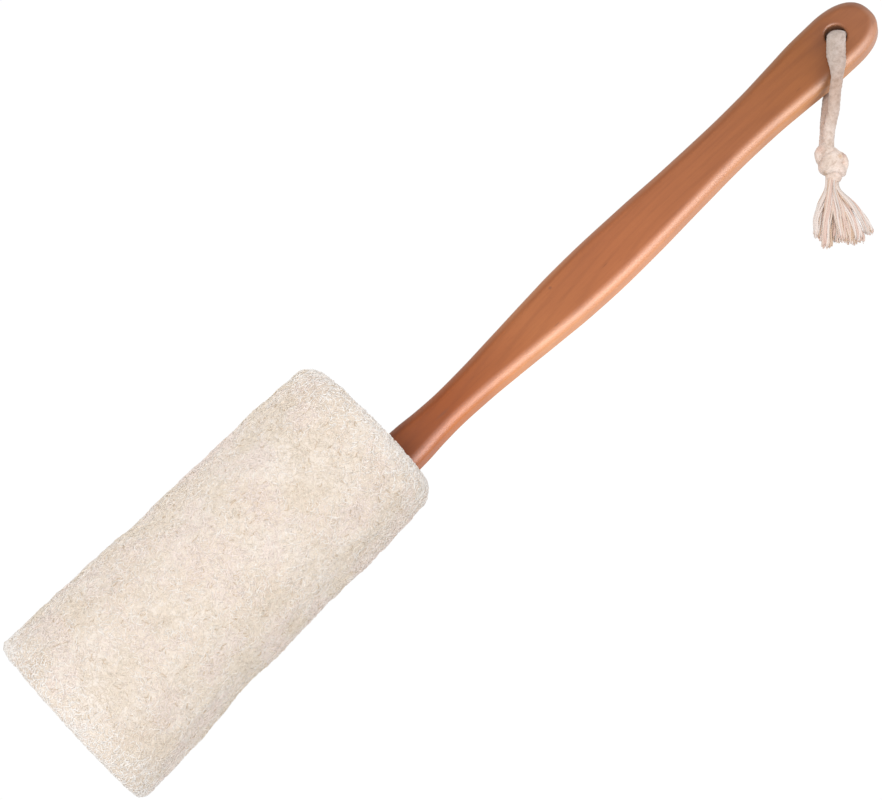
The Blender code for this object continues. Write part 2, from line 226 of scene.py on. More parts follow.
def bump(nt, height, strength, distance, normal=None):
    n = node(nt, "ShaderNodeBump")
    n.inputs["Strength"].default_value = strength
    n.inputs["Distance"].default_value = distance
    nt.links.new(height, n.inputs["Height"])
    if normal is not None:
        nt.links.new(normal, n.inputs["Normal"])
    return n.outputs["Normal"]


# ------------------------------------------------------------------ camera, lights, floor
CAM_POS = np.array([81.41855 + SHIFT.x, -473.1613 + SHIFT.y, 1320.0])
R2 = np.array([0.70507093, -0.68340216, -0.1893052])
U2 = np.array([0.70472682, 0.64553317, 0.29435869])
FW = np.array([0.07896258, 0.34095221, -0.93675851])
FPX = 3626.738
OFF = (-1.25739, -22.416945)
# aim at the middle of the picture instead of shifting the lens
aim = FW + (-OFF[0] / FPX) * R2 + (OFF[1] / FPX) * U2
aim /= np.linalg.norm(aim)
right = R2 - aim * (R2 @ aim)
right /= np.linalg.norm(right)
upward = np.cross(right, aim)
cam_data = D.cameras.new("camera")
cam_data.sensor_width = 36.0
cam_data.lens = FPX * 36.0 / 882.0
cam_data.clip_start, cam_data.clip_end = 0.05, 20.0
cam = D.objects.new("camera", cam_data)
SCN.collection.objects.link(cam)
cam.matrix_world = Matrix((
    (right[0], upward[0], -aim[0], CAM_POS[0] * MM),
    (right[1], upward[1], -aim[1], CAM_POS[1] * MM),
    (right[2], upward[2], -aim[2], CAM_POS[2] * MM),
    (0, 0, 0, 1),
))
SCN.camera = cam

SCN.view_settings.view_transform = "Standard"
SCN.view_settings.look = "None"

world = D.worlds.new("world")
world.use_nodes = True
world.node_tree.nodes["Background"].inputs["Color"].default_value = (0.97, 0.985, 1.0, 1)
world.node_tree.nodes["Background"].inputs["Strength"].default_value = 0.72
SCN.world = world


def area(name, pos, target, size, size_y, energy, colour=(1, 1, 1)):
    li = D.lights.new(name, "AREA")
    li.shape = "RECTANGLE"
    li.size, li.size_y = size, size_y
    li.energy = energy
    li.color = colour
    ob = D.objects.new(name, li)
    SCN.collection.objects.link(ob)
    ob.location = pos
    ob.rotation_euler = (Vector(target) - Vector(pos)).to_track_quat("-Z", "Y").to_euler()
    return ob


area("softbox_top", (-0.14, -0.42, 1.75), (0, 0, 0), 1.0, 1.0, 17.8)
wood_strip = area("strip_side", (0.16, -1.30, 0.40), (0.04, 0, 0.02), 1.7, 0.48, 44.0, (0.92, 1.06, 1.20))
wood_strip.visible_glossy = False
wood_back = area("fill_back", (-0.15, 1.25, 0.55), (0.04, 0, 0.02), 1.7, 0.5, 9.0, (1.0, 1.0, 1.0))
wood_back.visible_glossy = False
# the sheen on the handle's rounded edge comes from higher up
wood_sheen = area("strip_sheen", (0.10, -1.00, 0.94), (0.04, 0, 0.02), 1.9, 0.62, 50.0, (0.94, 1.0, 1.02))
wood_sheen.visible_diffuse = False

# the floor is a lit white table: seen straight it is evenly white, and it bounces light as white paper does
floor_mat, nt, p = new_material("floor_white")
p.inputs["Base Color"].default_value = (0.82, 0.82, 0.82, 1)
p.inputs["Roughness"].default_value = 1.0
p.inputs["Specular IOR Level"].default_value = 0.0
glow = node(nt, "ShaderNodeEmission")
glow.inputs["Strength"].default_value = 1.02
pick = node(nt, "ShaderNodeMixShader")
nt.links.new(node(nt, "ShaderNodeLightPath").outputs["Is Camera Ray"], pick.inputs[0])
nt.links.new(p.outputs[0], pick.inputs[1])
nt.links.new(glow.outputs[0], pick.inputs[2])
nt.links.new(pick.outputs[0], nt.nodes["Material Output"].inputs["Surface"])
floor = new_object("floor", [(-4, -4, -0.0002), (4, -4, -0.0002), (4, 4, -0.0002), (-4, 4, -0.0002)], [(0, 1, 2, 3)], floor_mat, shade=False)

# ------------------------------------------------------------------ handle
def on_handle(p):
    p = np.asarray(p, float)
    return np.array(LOBE) + (p - np.array([LOBE.x, 0, 0])) @ np.array(TURN).T


def outline():
    """The upper half outline (x, half width), tang end to tip, about 1.2 mm apart."""
    a = np.radians(np.linspace(0, 90, 15))[:-1]
    pts = [(TANG_X0 + 9 * (1 - math.cos(t)), 9 * math.sin(t)) for t in a]
    xs = np.arange(TANG_X0 + 9, TIP_X, 1.25)
    pts += list(zip(xs, smooth(WIDTHS, xs) / 2))
    for t in np.radians(np.linspace(0, 90, 34)):
        c, s = math.cos(t) ** (2 / TIP_POWER), math.sin(t) ** (2 / TIP_POWER)
        pts.append((TIP_X + (TOTAL_LENGTH - TIP_X) * s, WIDTHS[-1][1] / 2 * c if t < math.pi / 2 - 1e-6 else 0.0))
    return np.array(pts)


def make_handle(mat):
    up = outline()
    n = len(up)
    full = np.vstack([up, [(x, -y) for x, y in up[-2:0:-1]]])
    full[:, 1] += smooth(BOW, full[:, 0])
    m = len(full)
    tang = np.roll(full, -1, 0) - np.roll(full, 1, 0)
    tang /= np.linalg.norm(tang, axis=1)[:, None]
    inward = np.stack([tang[:, 1], -tang[:, 0]], 1)  # the outline runs clockwise seen from above
    SEG = 12
    prof = [(5.4, -HANDLE_T / 2)]
    for k in range(SEG + 1):
        t = math.pi / 2 * k / SEG
        prof.append((FILLET_IN * (1 - max(math.sin(t), 0) ** 1.12), -HANDLE_T / 2 + FILLET * (1 - max(math.cos(t), 0) ** 1.12)))
    prof += [(d, -z) for d, z in prof[::-1]]
    verts = [(x, y, z) for d, z in prof for x, y in full + inward * d]
    rows = len(prof)
    faces = []
    for r in range(rows - 1):
        for i in range(m):
            j = (i + 1) % m
            faces.append((r * m + i, r * m + j, (r + 1) * m + j, (r + 1) * m + i))
    # the flat faces are a ladder from one side to the other
    for base in (0, (rows - 1) * m):
        for i in range(n - 1):
            ids = list(dict.fromkeys([base + i, base + i + 1, base + (m - i - 1) % m, base + (m - i) % m]))
            faces.append(tuple(ids))
    me = D.meshes.new("handle_wood")
    me.from_pydata([tuple(v) for v in np.array(verts)], [], faces)
    bm = bmesh.new()
    bm.from_mesh(me)
    bmesh.ops.recalc_face_normals(bm, faces=bm.faces[:])
    bm.to_mesh(me)
    bm.free()
    ob = D.objects.new("handle_wood", me)
    SCN.collection.objects.link(ob)
    # hanging hole with rounded lips
    R, LIP, K = 4.25, 1.0, 72
    pr = [(-HANDLE_T / 2 - 2, R + LIP)]
    for s in (-1, 1):
        arc = [
            (s * (HANDLE_T / 2 - LIP + LIP * math.sin(math.radians(a))), R + LIP * (1 - math.cos(math.radians(a))))
            for a in np.linspace(0, 88, 9)
        ]
        pr += arc[::-1] if s < 0 else arc
    pr.append((HANDLE_T / 2 + 2, R + LIP))
    cx, cy = LOBE.x + HOLE_OFF[0], HOLE_OFF[1]
    cv = [(cx + r * math.cos(2 * math.pi * k / K), cy + r * math.sin(2 * math.pi * k / K), z) for z, r in pr for k in range(K)]
    cf = [(a * K + k, a * K + (k + 1) % K, (a + 1) * K + (k + 1) % K, (a + 1) * K + k) for a in range(len(pr) - 1) for k in range(K)]
    cf += [tuple(range(K))[::-1], tuple((len(pr) - 1) * K + k for k in range(K))]
    cme = D.meshes.new("cut")
    cme.from_pydata(cv, [], cf)
    cob = D.objects.new("cut", cme)
    SCN.collection.objects.link(cob)
    mod = ob.modifiers.new("hole", "BOOLEAN")
    mod.operation, mod.solver, mod.object = "DIFFERENCE", "EXACT", cob
    bpy.context.view_layer.update()
    done = D.meshes.new_from_object(ob.evaluated_get(bpy.context.evaluated_depsgraph_get()))
    ob.modifiers.clear()
    D.objects.remove(cob)
    ob.data = done
    co = np.zeros(len(done.vertices) * 3)
    done.vertices.foreach_get("co", co)
    co = to_row(on_handle(co.reshape(-1, 3)))
    done.vertices.foreach_set("co", co.reshape(-1))
    done.update()
    done.materials.clear()
    done.materials.append(mat)
    done.shade_smooth()
    done.set_sharp_from_angle(angle=math.radians(38))
    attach(ob, "scrubber")
    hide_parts("handle")
    return ob


def spot_mask(nt, centre_mm, radii_mm, turn=0.0):
    """1 inside an ellipsoid round a bench point, falling to 0 at its edge."""
    tc = node(nt, "ShaderNodeTexCoord")
    mp = node(nt, "ShaderNodeMapping", vector_type="TEXTURE")
    mp.inputs["Location"].default_value = tuple(to_row(centre_mm))
    mp.inputs["Rotation"].default_value = (0, 0, turn)
    mp.inputs["Scale"].default_value = tuple(r * MM for r in radii_mm)
    nt.links.new(tc.outputs["Object"], mp.inputs["Vector"])
    ln = node(nt, "ShaderNodeVectorMath", operation="LENGTH")
    nt.links.new(mp.outputs["Vector"], ln.inputs[0])
    return maths(nt, "SUBTRACT", 1.0, ln.outputs["Value"], clamp=True)


def wood_material():
    m, nt, p = new_material("stained_wood")
    g1 = noise_tex(nt, coords(nt, (30, 900, 900), (0, 0, 0.02)), 1.0, 5, 0.62, 0.15)
    g2 = noise_tex(nt, coords(nt, (9, 260, 260), (0, 0, 0.02)), 1.0, 3, 0.5, 0.4)
    g3 = noise_tex(nt, coords(nt, (140, 3600, 3600), (0, 0, 0.02)), 1.0, 2, 0.6)
    tone = noise_tex(nt, coords(nt, (22, 60, 60)), 1.0, 2, 0.5)
    base = ramp(nt, g2, [(0.25, (0.325, 0.101, 0.035)), (0.5, (0.345, 0.109, 0.038)), (0.78, (0.365, 0.118, 0.042))])
    streak = ramp(nt, g1, [(0.30, (0.88, 0.85, 0.83)), (0.52, (1.0, 1.0, 1.0)), (0.75, (1.03, 1.04, 1.05))])
    c = mix(nt, "MULTIPLY", 0.6, base, streak)
    pores = ramp(nt, g3, [(0.28, (0.72, 0.68, 0.66)), (0.40, (1, 1, 1))])
    c = mix(nt, "MULTIPLY", 0.40, c, pores)
    blotch = ramp(nt, tone, [(0.3, (0.93, 0.91, 0.90)), (0.7, (1.05, 1.06, 1.07))])
    c = mix(nt, "MULTIPLY", 0.8, c, blotch)
    # growth rings where the broad face cuts them, widest towards the tip
    wave = node(nt, "ShaderNodeTexWave", wave_type="RINGS", rings_direction="Z", wave_profile="SIN")
    wave.inputs["Scale"].default_value = 1.0
    wave.inputs["Distortion"].default_value = 2.2
    wave.inputs["Detail"].default_value = 2.0
    wave.inputs["Detail Scale"].default_value = 0.7
    mpv = node(nt, "ShaderNodeMapping")
    tcv = node(nt, "ShaderNodeTexCoord")
    mpv.inputs["Location"].default_value = (-1.15, 1.9, 0)
    mpv.inputs["Scale"].default_value = (12, 90, 1)
    nt.links.new(tcv.outputs["Object"], mpv.inputs["Vector"])
    nt.links.new(mpv.outputs["Vector"], wave.inputs["Vector"])
    rings = ramp(nt, wave.outputs["Fac"], [(0.0, (0.90, 0.87, 0.85)), (0.35, (1, 1, 1)), (1.0, (1.02, 1.02, 1.03))])
    c = mix(nt, "MULTIPLY", 0.55, c, rings)
    # short dark rays, as in beech
    vor = node(nt, "ShaderNodeTexVoronoi", feature="F1")
    vor.inputs["Scale"].default_value = 1.0
    nt.links.new(coords(nt, (45, 330, 330)), vor.inputs["Vector"])
    ray = ramp(nt, vor.outputs["Distance"], [(0.035, (0.5, 0.43, 0.39)), (0.085, (1, 1, 1))])
    c = mix(nt, "MULTIPLY", 0.5, c, ray)
    # painted shade: the wood is darker at the neck, where the pad shades it, and a little darker at the tip; the ramp
    # also sets the wood's tone along the handle
    tc = node(nt, "ShaderNodeTexCoord")
    sep = node(nt, "ShaderNodeSeparateXYZ")
    nt.links.new(tc.outputs["Object"], sep.inputs[0])
    along = node(nt, "ShaderNodeMapRange")
    along.inputs["From Min"].default_value = float(to_row((160, 0, 0))[0])
    along.inputs["From Max"].default_value = float(to_row((410, 0, 0))[0])
    nt.links.new(sep.outputs["X"], along.inputs["Value"])
    painted_shade_and_tone = ramp(
        nt, along.outputs["Result"],
        [(0.0, (0.445, 0.275, 0.02)), (0.10, (0.60, 0.385, 0.04)), (0.28, (0.755, 0.695, 0.48)), (0.45, (0.72, 0.635, 0.46)), (0.70, (0.645, 0.59, 0.42)), (0.88, (0.59, 0.54, 0.26)), (1.0, (0.57, 0.57, 0.56))],
    )
    c = mix(nt, "MULTIPLY", 1.0, c, painted_shade_and_tone)
    # painted highlight: the sides and rounded edges of the handle are lightened
    up = TURN @ Vector((0, 0, 1))
    lift = node(nt, "ShaderNodeVectorMath", operation="DOT_PRODUCT")
    nt.links.new(tc.outputs["Object"], lift.inputs[0])
    lift.inputs[1].default_value = tuple(float(q) * 1000 for q in up)
    off = maths(nt, "ABSOLUTE", maths(nt, "SUBTRACT", lift.outputs["Value"], float(PIVOT @ up)))
    painted_edge_highlight = ramp(nt, maths(nt, "DIVIDE", off, HANDLE_T / 2, clamp=True), [(0.0, (1.16, 1.58, 2.0)), (0.62, (1.20, 1.66, 2.2)), (0.90, (1.14, 1.42, 1.7)), (0.985, (1, 1, 1))])
    c = mix(nt, "MULTIPLY", 1.0, c, painted_edge_highlight)
    # painted reflection: a little white is added on the sides and rounded edges
    painted_edge_reflection = ramp(nt, maths(nt, "DIVIDE", off, HANDLE_T / 2, clamp=True), [(0.0, (0.0, 0.003, 0.017)), (0.90, (0.0, 0.002, 0.010)), (0.985, (0, 0, 0))])
    c = mix(nt, "ADD", 1.0, c, painted_edge_reflection)
    for centre, radii, strength in WOOD_MARKS:
        c = mix(nt, "MIX", maths(nt, "MULTIPLY", spot_mask(nt, centre, radii, -0.02), strength, clamp=True), c, (0.10, 0.035, 0.018))
    nt.links.new(c, p.inputs["Base Color"])
    nt.links.new(ramp(nt, g1, [(0.2, (0.42,) * 3), (0.8, (0.52,) * 3)]), p.inputs["Roughness"])
    h = maths(nt, "ADD", maths(nt, "MULTIPLY", g1, 0.6), maths(nt, "MULTIPLY", g3, 0.4))
    nt.links.new(bump(nt, h, 0.10, 0.00012), p.inputs["Normal"])
    p.inputs["Specular IOR Level"].default_value = 0.30
    p.inputs["Coat Weight"].default_value = 0.26
    p.inputs["Coat Roughness"].default_value = 0.42
    p.inputs["Coat IOR"].default_value = 1.5
    return m


# a dark fleck on the broad face and a short streak by the neck: centre, radii in mm, strength
WOOD_MARKS = (
    ((245.1, -6.3, 20.9), (0.9, 0.75, 3.0), 0.7),
    ((181.6, -12.1, 22.5), (4.2, 0.7, 5.0), 0.55),
)
handle = make_handle(wood_material())
lit = D.collections.new("lit_by_strip")
lit.objects.link(handle)
wood_strip.light_linking.receiver_collection = lit
wood_sheen.light_linking.receiver_collection = lit
wood_back.light_linking.receiver_collection = lit

# ------------------------------------------------------------------ numbers for the fibres
RNG = np.random.default_rng(11)


def lattice(ix, iy, iz, seed):
    n = (ix * 374761393 + iy * 668265263 + iz * 1440662683 + seed * 974634777) & 0xFFFFFFFF
    n = ((n ^ (n >> 13)) * 1274126177) & 0xFFFFFFFF
    return ((n ^ (n >> 16)) & 0xFFFF) / 32767.5 - 1


def vnoise(p, seed=0):
    """Value noise of points (..., 3), -1 to 1, one cell per unit."""
    i = np.floor(p).astype(np.int64)
    f = p - i
    u = f * f * f * (f * (f * 6 - 15) + 10)
    out = 0
    for dx in (0, 1):
        for dy in (0, 1):
            for dz in (0, 1):
                w = (u[..., 0] if dx else 1 - u[..., 0]) * (u[..., 1] if dy else 1 - u[..., 1]) * (u[..., 2] if dz else 1 - u[..., 2])
                out = out + w * lattice(i[..., 0] + dx, i[..., 1] + dy, i[..., 2] + dz, seed)
    return out


def tubes(name, paths, radii, mats, body, ref=None, sides=3, tones=None, phase=None):
    """Closed tubes along paths (n, p, 3) in bench mm with radii (n, p). ref is a direction near each point that the section keeps to."""
    n, p, _ = paths.shape
    t = np.empty_like(paths)
    t[:, 1:-1] = paths[:, 2:] - paths[:, :-2]
    t[:, 0] = paths[:, 1] - paths[:, 0]
    t[:, -1] = paths[:, -1] - paths[:, -2]
    t /= np.maximum(np.linalg.norm(t, axis=-1, keepdims=True), 1e-9)
    ref = np.broadcast_to(np.array([0.0, 0.0, 1.0]) if ref is None else ref, paths.shape)
    b = np.cross(t, ref)
    b /= np.maximum(np.linalg.norm(b, axis=-1, keepdims=True), 1e-9)
    c = np.cross(b, t)
    ph = RNG.uniform(0, 2 * math.pi, (n, 1, 1)) if phase is None else phase
    a = ph + 2 * math.pi * np.arange(sides)[None, None, :] / sides
    v = paths[:, :, None, :] + radii[:, :, None, None] * (np.cos(a)[..., None] * b[:, :, None, :] + np.sin(a)[..., None] * c[:, :, None, :])
    v[..., 2] = np.maximum(v[..., 2], 0.02)
    base = (np.arange(n) * p * sides)[:, None, None]
    row = (np.arange(p - 1) * sides)[None, :, None]
    k = np.arange(sides)[None, None, :]
    k2 = (k + 1) % sides
    quads = np.stack([base + row + k, base + row + k2, base + row + sides + k2, base + row + sides + k], -1)
    tris = []
    for q in range(1, sides - 1):
        tris.append(np.stack([base[:, 0, 0], base[:, 0, 0] + q + 1, base[:, 0, 0] + q], -1))
        e = base[:, 0, 0] + (p - 1) * sides
        tris.append(np.stack([e, e + q, e + q + 1], -1))
    ob = fast_mesh(name, to_row(v.reshape(-1, 3)), quads.reshape(-1, 4)[:, ::-1], mats[0], body, np.concatenate(tris)[:, ::-1])
    for extra in mats[1:]:
        ob.data.materials.append(extra)
    if len(mats) > 1:
        tones = RNG.integers(0, len(mats), n) if tones is None else tones
        idx = np.concatenate([np.repeat(tones, (p - 1) * sides)] + [tones] * (2 * (sides - 2))).astype(np.int32)
        ob.data.polygons.foreach_set("material_index", idx)
    return ob


def plain_fibre(name, rgb, rough=0.85, sheen=0.15):
    m, nt, p = new_material(name)
    p.inputs["Base Color"].default_value = (*rgb, 1)
    p.inputs["Roughness"].default_value = rough
    p.inputs["Sheen Weight"].default_value = sheen
    p.inputs["Specular IOR Level"].default_value = 0.25
    return m


# ------------------------------------------------------------------ luffa pad
RC = float(smooth(PAD_RADII, PAD_LENGTH - SHOULDER_R)) - SHOULDER_R
LAST = math.asin((MOUTH_R - RC) / SHOULDER_R)
X1 = PAD_LENGTH - SHOULDER_R * math.cos(LAST)  # the shoulder starts here


def outer_profile():
    """(x, r) along the mat's outside from the free end's inner lip to the mouth round the handle, close together."""
    pts = [(0.0, x) for x in np.linspace(35.4, 36.0, 2)]
    for a in np.radians(np.linspace(0, 90, 9))[1:]:
        pts.append((EDGE_R * (1 - math.cos(a)), 36.0 + EDGE_R * math.sin(a)))
    for x in np.arange(4, X1, 1.0):
        pts.append((x, float(smooth(PAD_RADII, x))))
    for a in np.linspace(math.pi / 2, LAST, 16):
        pts.append((X1 + SHOULDER_R * math.cos(a), RC + SHOULDER_R * math.sin(a)))
    return np.array(pts)


def inner_radius(x):
    """Radius of the mat's inside wall, which closes in towards the mouth."""
    x = np.asarray(x, float)
    r = smooth(PAD_RADII, np.minimum(x, X1)) - WALL
    return np.interp(x, [X1 - 0.2, X1 + 1.8, X1 + 3.8, X1 + 5.8], [0, -0.6, MOUTH_R + 0.7 - float(smooth(PAD_RADII, X1)) + WALL, MOUTH_R - float(smooth(PAD_RADII, X1)) + WALL]) + r


PROF = outer_profile()
PROF_S = np.concatenate([[0], np.cumsum(np.linalg.norm(np.diff(PROF, axis=0), axis=1))])
PT = np.gradient(PROF, PROF_S, axis=0)
PT /= np.linalg.norm(PT, axis=1)[:, None]
PROF_N = np.stack([-PT[:, 1], PT[:, 0]], 1)  # outwards
S_END = PROF_S[-1]


def relief(x, a):
    """How far the pad's skin stands from its plain surface, mm, at station x and angle a."""
    c, s = np.cos(a), np.sin(a)
    p = np.stack([x * 0.011, 1.6 * c, 1.6 * s], -1)
    warp = vnoise(p, 3)
    lobes = np.cos(9 * a + 2.2 * warp) * 0.34 + np.cos(5 * a + 1.4 + 2 * warp) * 0.22
    q = np.stack([x, 37 * c, 37 * s], -1)
    return lobes + 0.50 * vnoise(q / 14, 5) + 0.34 * vnoise(q / 5.5, 6) + 0.20 * vnoise(q / 2.2, 7)


# broad swells and dips of the fruit, mm: angle round the pad (deg), station x, reach along x, height
SWELLS = (
    (20, 10, 14, -0.5), (20, 45, 14, 0.5), (20, 95, 16, 0.5), (20, 150, 12, -0.5),
    (200, 58, 14, -0.8), (200, 104, 10, -0.6),
)


def lumps(x, a):
    out = 0.0
    for middle, x0, reach, height in SWELLS:
        near = np.clip((np.cos(a - math.radians(middle)) - 0.62) / 0.38, 0, 1)
        out = out + height * near * np.exp(-(((x - x0) / reach) ** 2))
    return out


def skin_point(s, a, lift):
    """Bench mm and outward normal of the pad's skin at profile length s, angle a, lifted along its normal."""
    x = np.interp(s, PROF_S, PROF[:, 0])
    r = np.interp(s, PROF_S, PROF[:, 1])
    nx = np.interp(s, PROF_S, PROF_N[:, 0])
    nr = np.interp(s, PROF_S, PROF_N[:, 1])
    ln = np.hypot(nx, nr)
    nx, nr = nx / ln, nr / ln
    soft = np.clip(np.minimum(s, S_END - s) / 8, 0.25, 1)
    d = relief(x, a) * soft + lumps(x, a) + lift
    x2, r2 = x + nx * d, r + nr * d
    p = pad_place(x2, r2 * np.cos(a), r2 * np.sin(a))
    p[..., 2] = np.maximum(p[..., 2], 0.05)
    nrm = np.stack([nx, nr * np.cos(a), nr * np.sin(a)], -1)
    return p, nrm


def luffa_material():
    m, nt, p = new_material("luffa_skin")
    v = coords(nt)
    big = noise_tex(nt, v, 0.045, 3, 0.5)
    mid = noise_tex(nt, v, 0.30, 4, 0.6)
    fine = noise_tex(nt, v, 1.6, 4, 0.65, 0.6)
    c = ramp(nt, big, [(0.30, (0.82, 0.70, 0.59)), (0.5, (0.87, 0.77, 0.67)), (0.72, (0.91, 0.83, 0.755))])
    m1 = ramp(nt, mid, [(0.3, (0.90, 0.87, 0.84)), (0.6, (1, 1, 1)), (0.8, (1.03, 1.03, 1.03))])
    c = mix(nt, "MULTIPLY", 0.8, c, m1)
    # painted shade: the low spots of the fine bump are darkened brown
    pit_shade = ramp(nt, fine, [(0.30, (0.58, 0.48, 0.38)), (0.44, (1, 1, 1))])
    c = mix(nt, "MULTIPLY", 0.7, c, pit_shade)
    nt.links.new(c, p.inputs["Base Color"])
    p.inputs["Roughness"].default_value = 0.92
    p.inputs["Specular IOR Level"].default_value = 0.2
    p.inputs["Sheen Weight"].default_value = 0.2
    vor = node(nt, "ShaderNodeTexVoronoi", feature="DISTANCE_TO_EDGE")
    vor.inputs["Scale"].default_value = 0.9
    nt.links.new(v, vor.inputs["Vector"])
    h = maths(nt, "ADD", fine, maths(nt, "MULTIPLY", vor.outputs["Distance"], 1.2))
    nt.links.new(bump(nt, h, 0.7, 0.0006), p.inputs["Normal"])
    return m


LUFFA = luffa_material()
FIBRES = [
    plain_fibre("fibre_cream", (0.915, 0.815, 0.722)),
    plain_fibre("fibre_pale", (0.94, 0.875, 0.81)),
    plain_fibre("fibre_rose", (0.92, 0.81, 0.74)),
    plain_fibre("fibre_straw", (0.885, 0.785, 0.67)),
    plain_fibre("fibre_tan", (0.70, 0.56, 0.42)),
    plain_fibre("fibre_light", (0.965, 0.915, 0.865)),
]


def luffa_shell():
    """The mat: its outside with relief, its two rims and the inside wall, one closed skin."""
    inner = [(x, float(inner_radius(x))) for x in np.concatenate([X1 + np.array([5.8, 4.8, 3.8, 2.8, 1.8, 0.8, -0.2]), np.arange(X1 - 2.5, 1, -2.5)])]
    inner.append((0.6, 35.1))
    s_out = np.concatenate([np.arange(0, 8, 0.7), np.arange(8, S_END - 12, 1.15), np.arange(S_END - 12, S_END, 0.8), [S_END]])
    NA = 236
    ang = 2 * math.pi * np.arange(NA) / NA
    S, A = np.meshgrid(s_out, ang, indexing="ij")
    P, _ = skin_point(S, A, -0.12)
    inn = np.array(inner)
    X, A2 = np.meshgrid(inn[:, 0], ang, indexing="ij")
    R = np.repeat(inn[:, 1][:, None], NA, 1)
    q = np.stack([X, 37 * np.cos(A2), 37 * np.sin(A2)], -1)
    R = R - 0.2 + 0.30 * vnoise(q / 5, 15) + 0.15 * vnoise(q / 2.0, 16)
    Pi = pad_place(X, R * np.cos(A2), R * np.sin(A2))
    Pi[..., 2] = np.maximum(Pi[..., 2], 1.4)
    V = np.concatenate([P, Pi])
    n = len(V)
    i = np.arange(n)[:, None] * NA
    i2 = ((np.arange(n) + 1) % n)[:, None] * NA
    k = np.arange(NA)[None, :]
    k2 = (k + 1) % NA
    quads = np.stack([i + k, i2 + k, i2 + k2, i + k2], -1).reshape(-1, 4)
    ob = fast_mesh("luffa_mat_skin", to_row(V.reshape(-1, 3)), quads[:, ::-1], LUFFA, "scrubber")
    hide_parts("luffa_outer_mat")
    return ob


def skin_fibres(name, count, s_range, length, radius, lift, seed, curl=0.55, points=7):
    """Short curled fibres felted onto the pad's skin."""
    rng = np.random.default_rng(seed)
    s0 = rng.uniform(*s_range, count)
    a0 = rng.uniform(0, 2 * math.pi, count)
    L = rng.uniform(*length, count)
    head = rng.uniform(0, math.pi, count)
    turn = rng.normal(0, curl, (count, points)).cumsum(1) * 0.55
    step = L[:, None] / (points - 1)
    hd = head[:, None] + turn
    ds = np.cos(hd) * step
    du = np.sin(hd) * step
    s = s0[:, None] + np.cumsum(ds, 1) - ds.sum(1, keepdims=True) / 2
    s = np.where(s < 0, -s, s)
    s = np.where(s > S_END, 2 * S_END - s, s)
    a = a0[:, None] + (np.cumsum(du, 1) - du.sum(1, keepdims=True) / 2) / 36.5
    wave = rng.uniform(0, 2 * math.pi, (count, 1)) + np.linspace(0, 1, points)[None] * rng.uniform(3, 9, (count, 1))
    lf = rng.uniform(*lift, (count, 1)) + 0.09 * np.sin(wave)
    lf[:, 0] -= 0.18
    lf[:, -1] -= 0.18
    P, N = skin_point(s, a, lf)
    rad = rng.uniform(*radius, (count, 1)) * np.linspace(0, 1, points)[None] ** 0
    rad = rad * np.where((np.arange(points) == 0) | (np.arange(points) == points - 1), 0.55, 1.0)[None]
    # what lies under the pad is pressed flat on the floor
    P[..., 2] = np.maximum(P[..., 2], rad + 0.03)
    # rosy, creamy and straw patches a few centimetres across
    where = np.stack([s0, 37 * np.cos(a0), 37 * np.sin(a0)], -1)
    rosy = 1.5 * vnoise(where / 11, 61) + 0.5 * vnoise(where / 4, 62) + rng.normal(0, 0.32, count)
    tones = np.where(rosy > 0.30, 2, np.where(rosy < -0.5, 3, np.where(rng.uniform(0, 1, count) < 0.42, 1, 0)))
    # painted light: near the two ends most fibres take the lightest tone, lifting the shade that falls in the end pits
    near_end = np.clip(1.25 - np.minimum(s0, S_END - s0) / 14, 0, 1)
    tones = np.where(rng.uniform(0, 1, count) < 0.9 * near_end, 5, tones)
    # painted shade: a few tan fibres stand for the dark specks of shade between the fibres, fewer near the ends
    tones = np.where(rng.uniform(0, 1, count) < 0.026 * (1 - 0.7 * near_end), 4, tones)
    return tubes(name, P, rad, FIBRES, "scrubber", ref=N, tones=tones)


shell = luffa_shell()
FIBRE_SETS = 6
for i in range(FIBRE_SETS):
    skin_fibres(f"luffa_fibres_{i + 1}", 7200, (0.0, S_END), (1.5, 3.9), (0.14, 0.235), (-0.12, 0.16), 100 + i, curl=1.15, points=5)


# ------------------------------------------------------------------ core web and end fibres
def star(x, r_out):
    pts = []
    for k in range(3):
        first = SEPTUM_TURN + 120 * k
        edge = math.degrees(math.asin(2.2 / (r_out - 3.5)))
        for f in np.linspace(0, 1, 33):
            g = f - 0.055 * math.sin(2 * math.pi * f) * 2
            phi = -60 + edge + (120 - 2 * edge) * g
            side = math.radians(60 - abs(phi))
            pts.append((min(r_out, 2.2 / math.sin(side) + 3.5), math.radians(first + 60 + phi)))
    return np.array(pts)


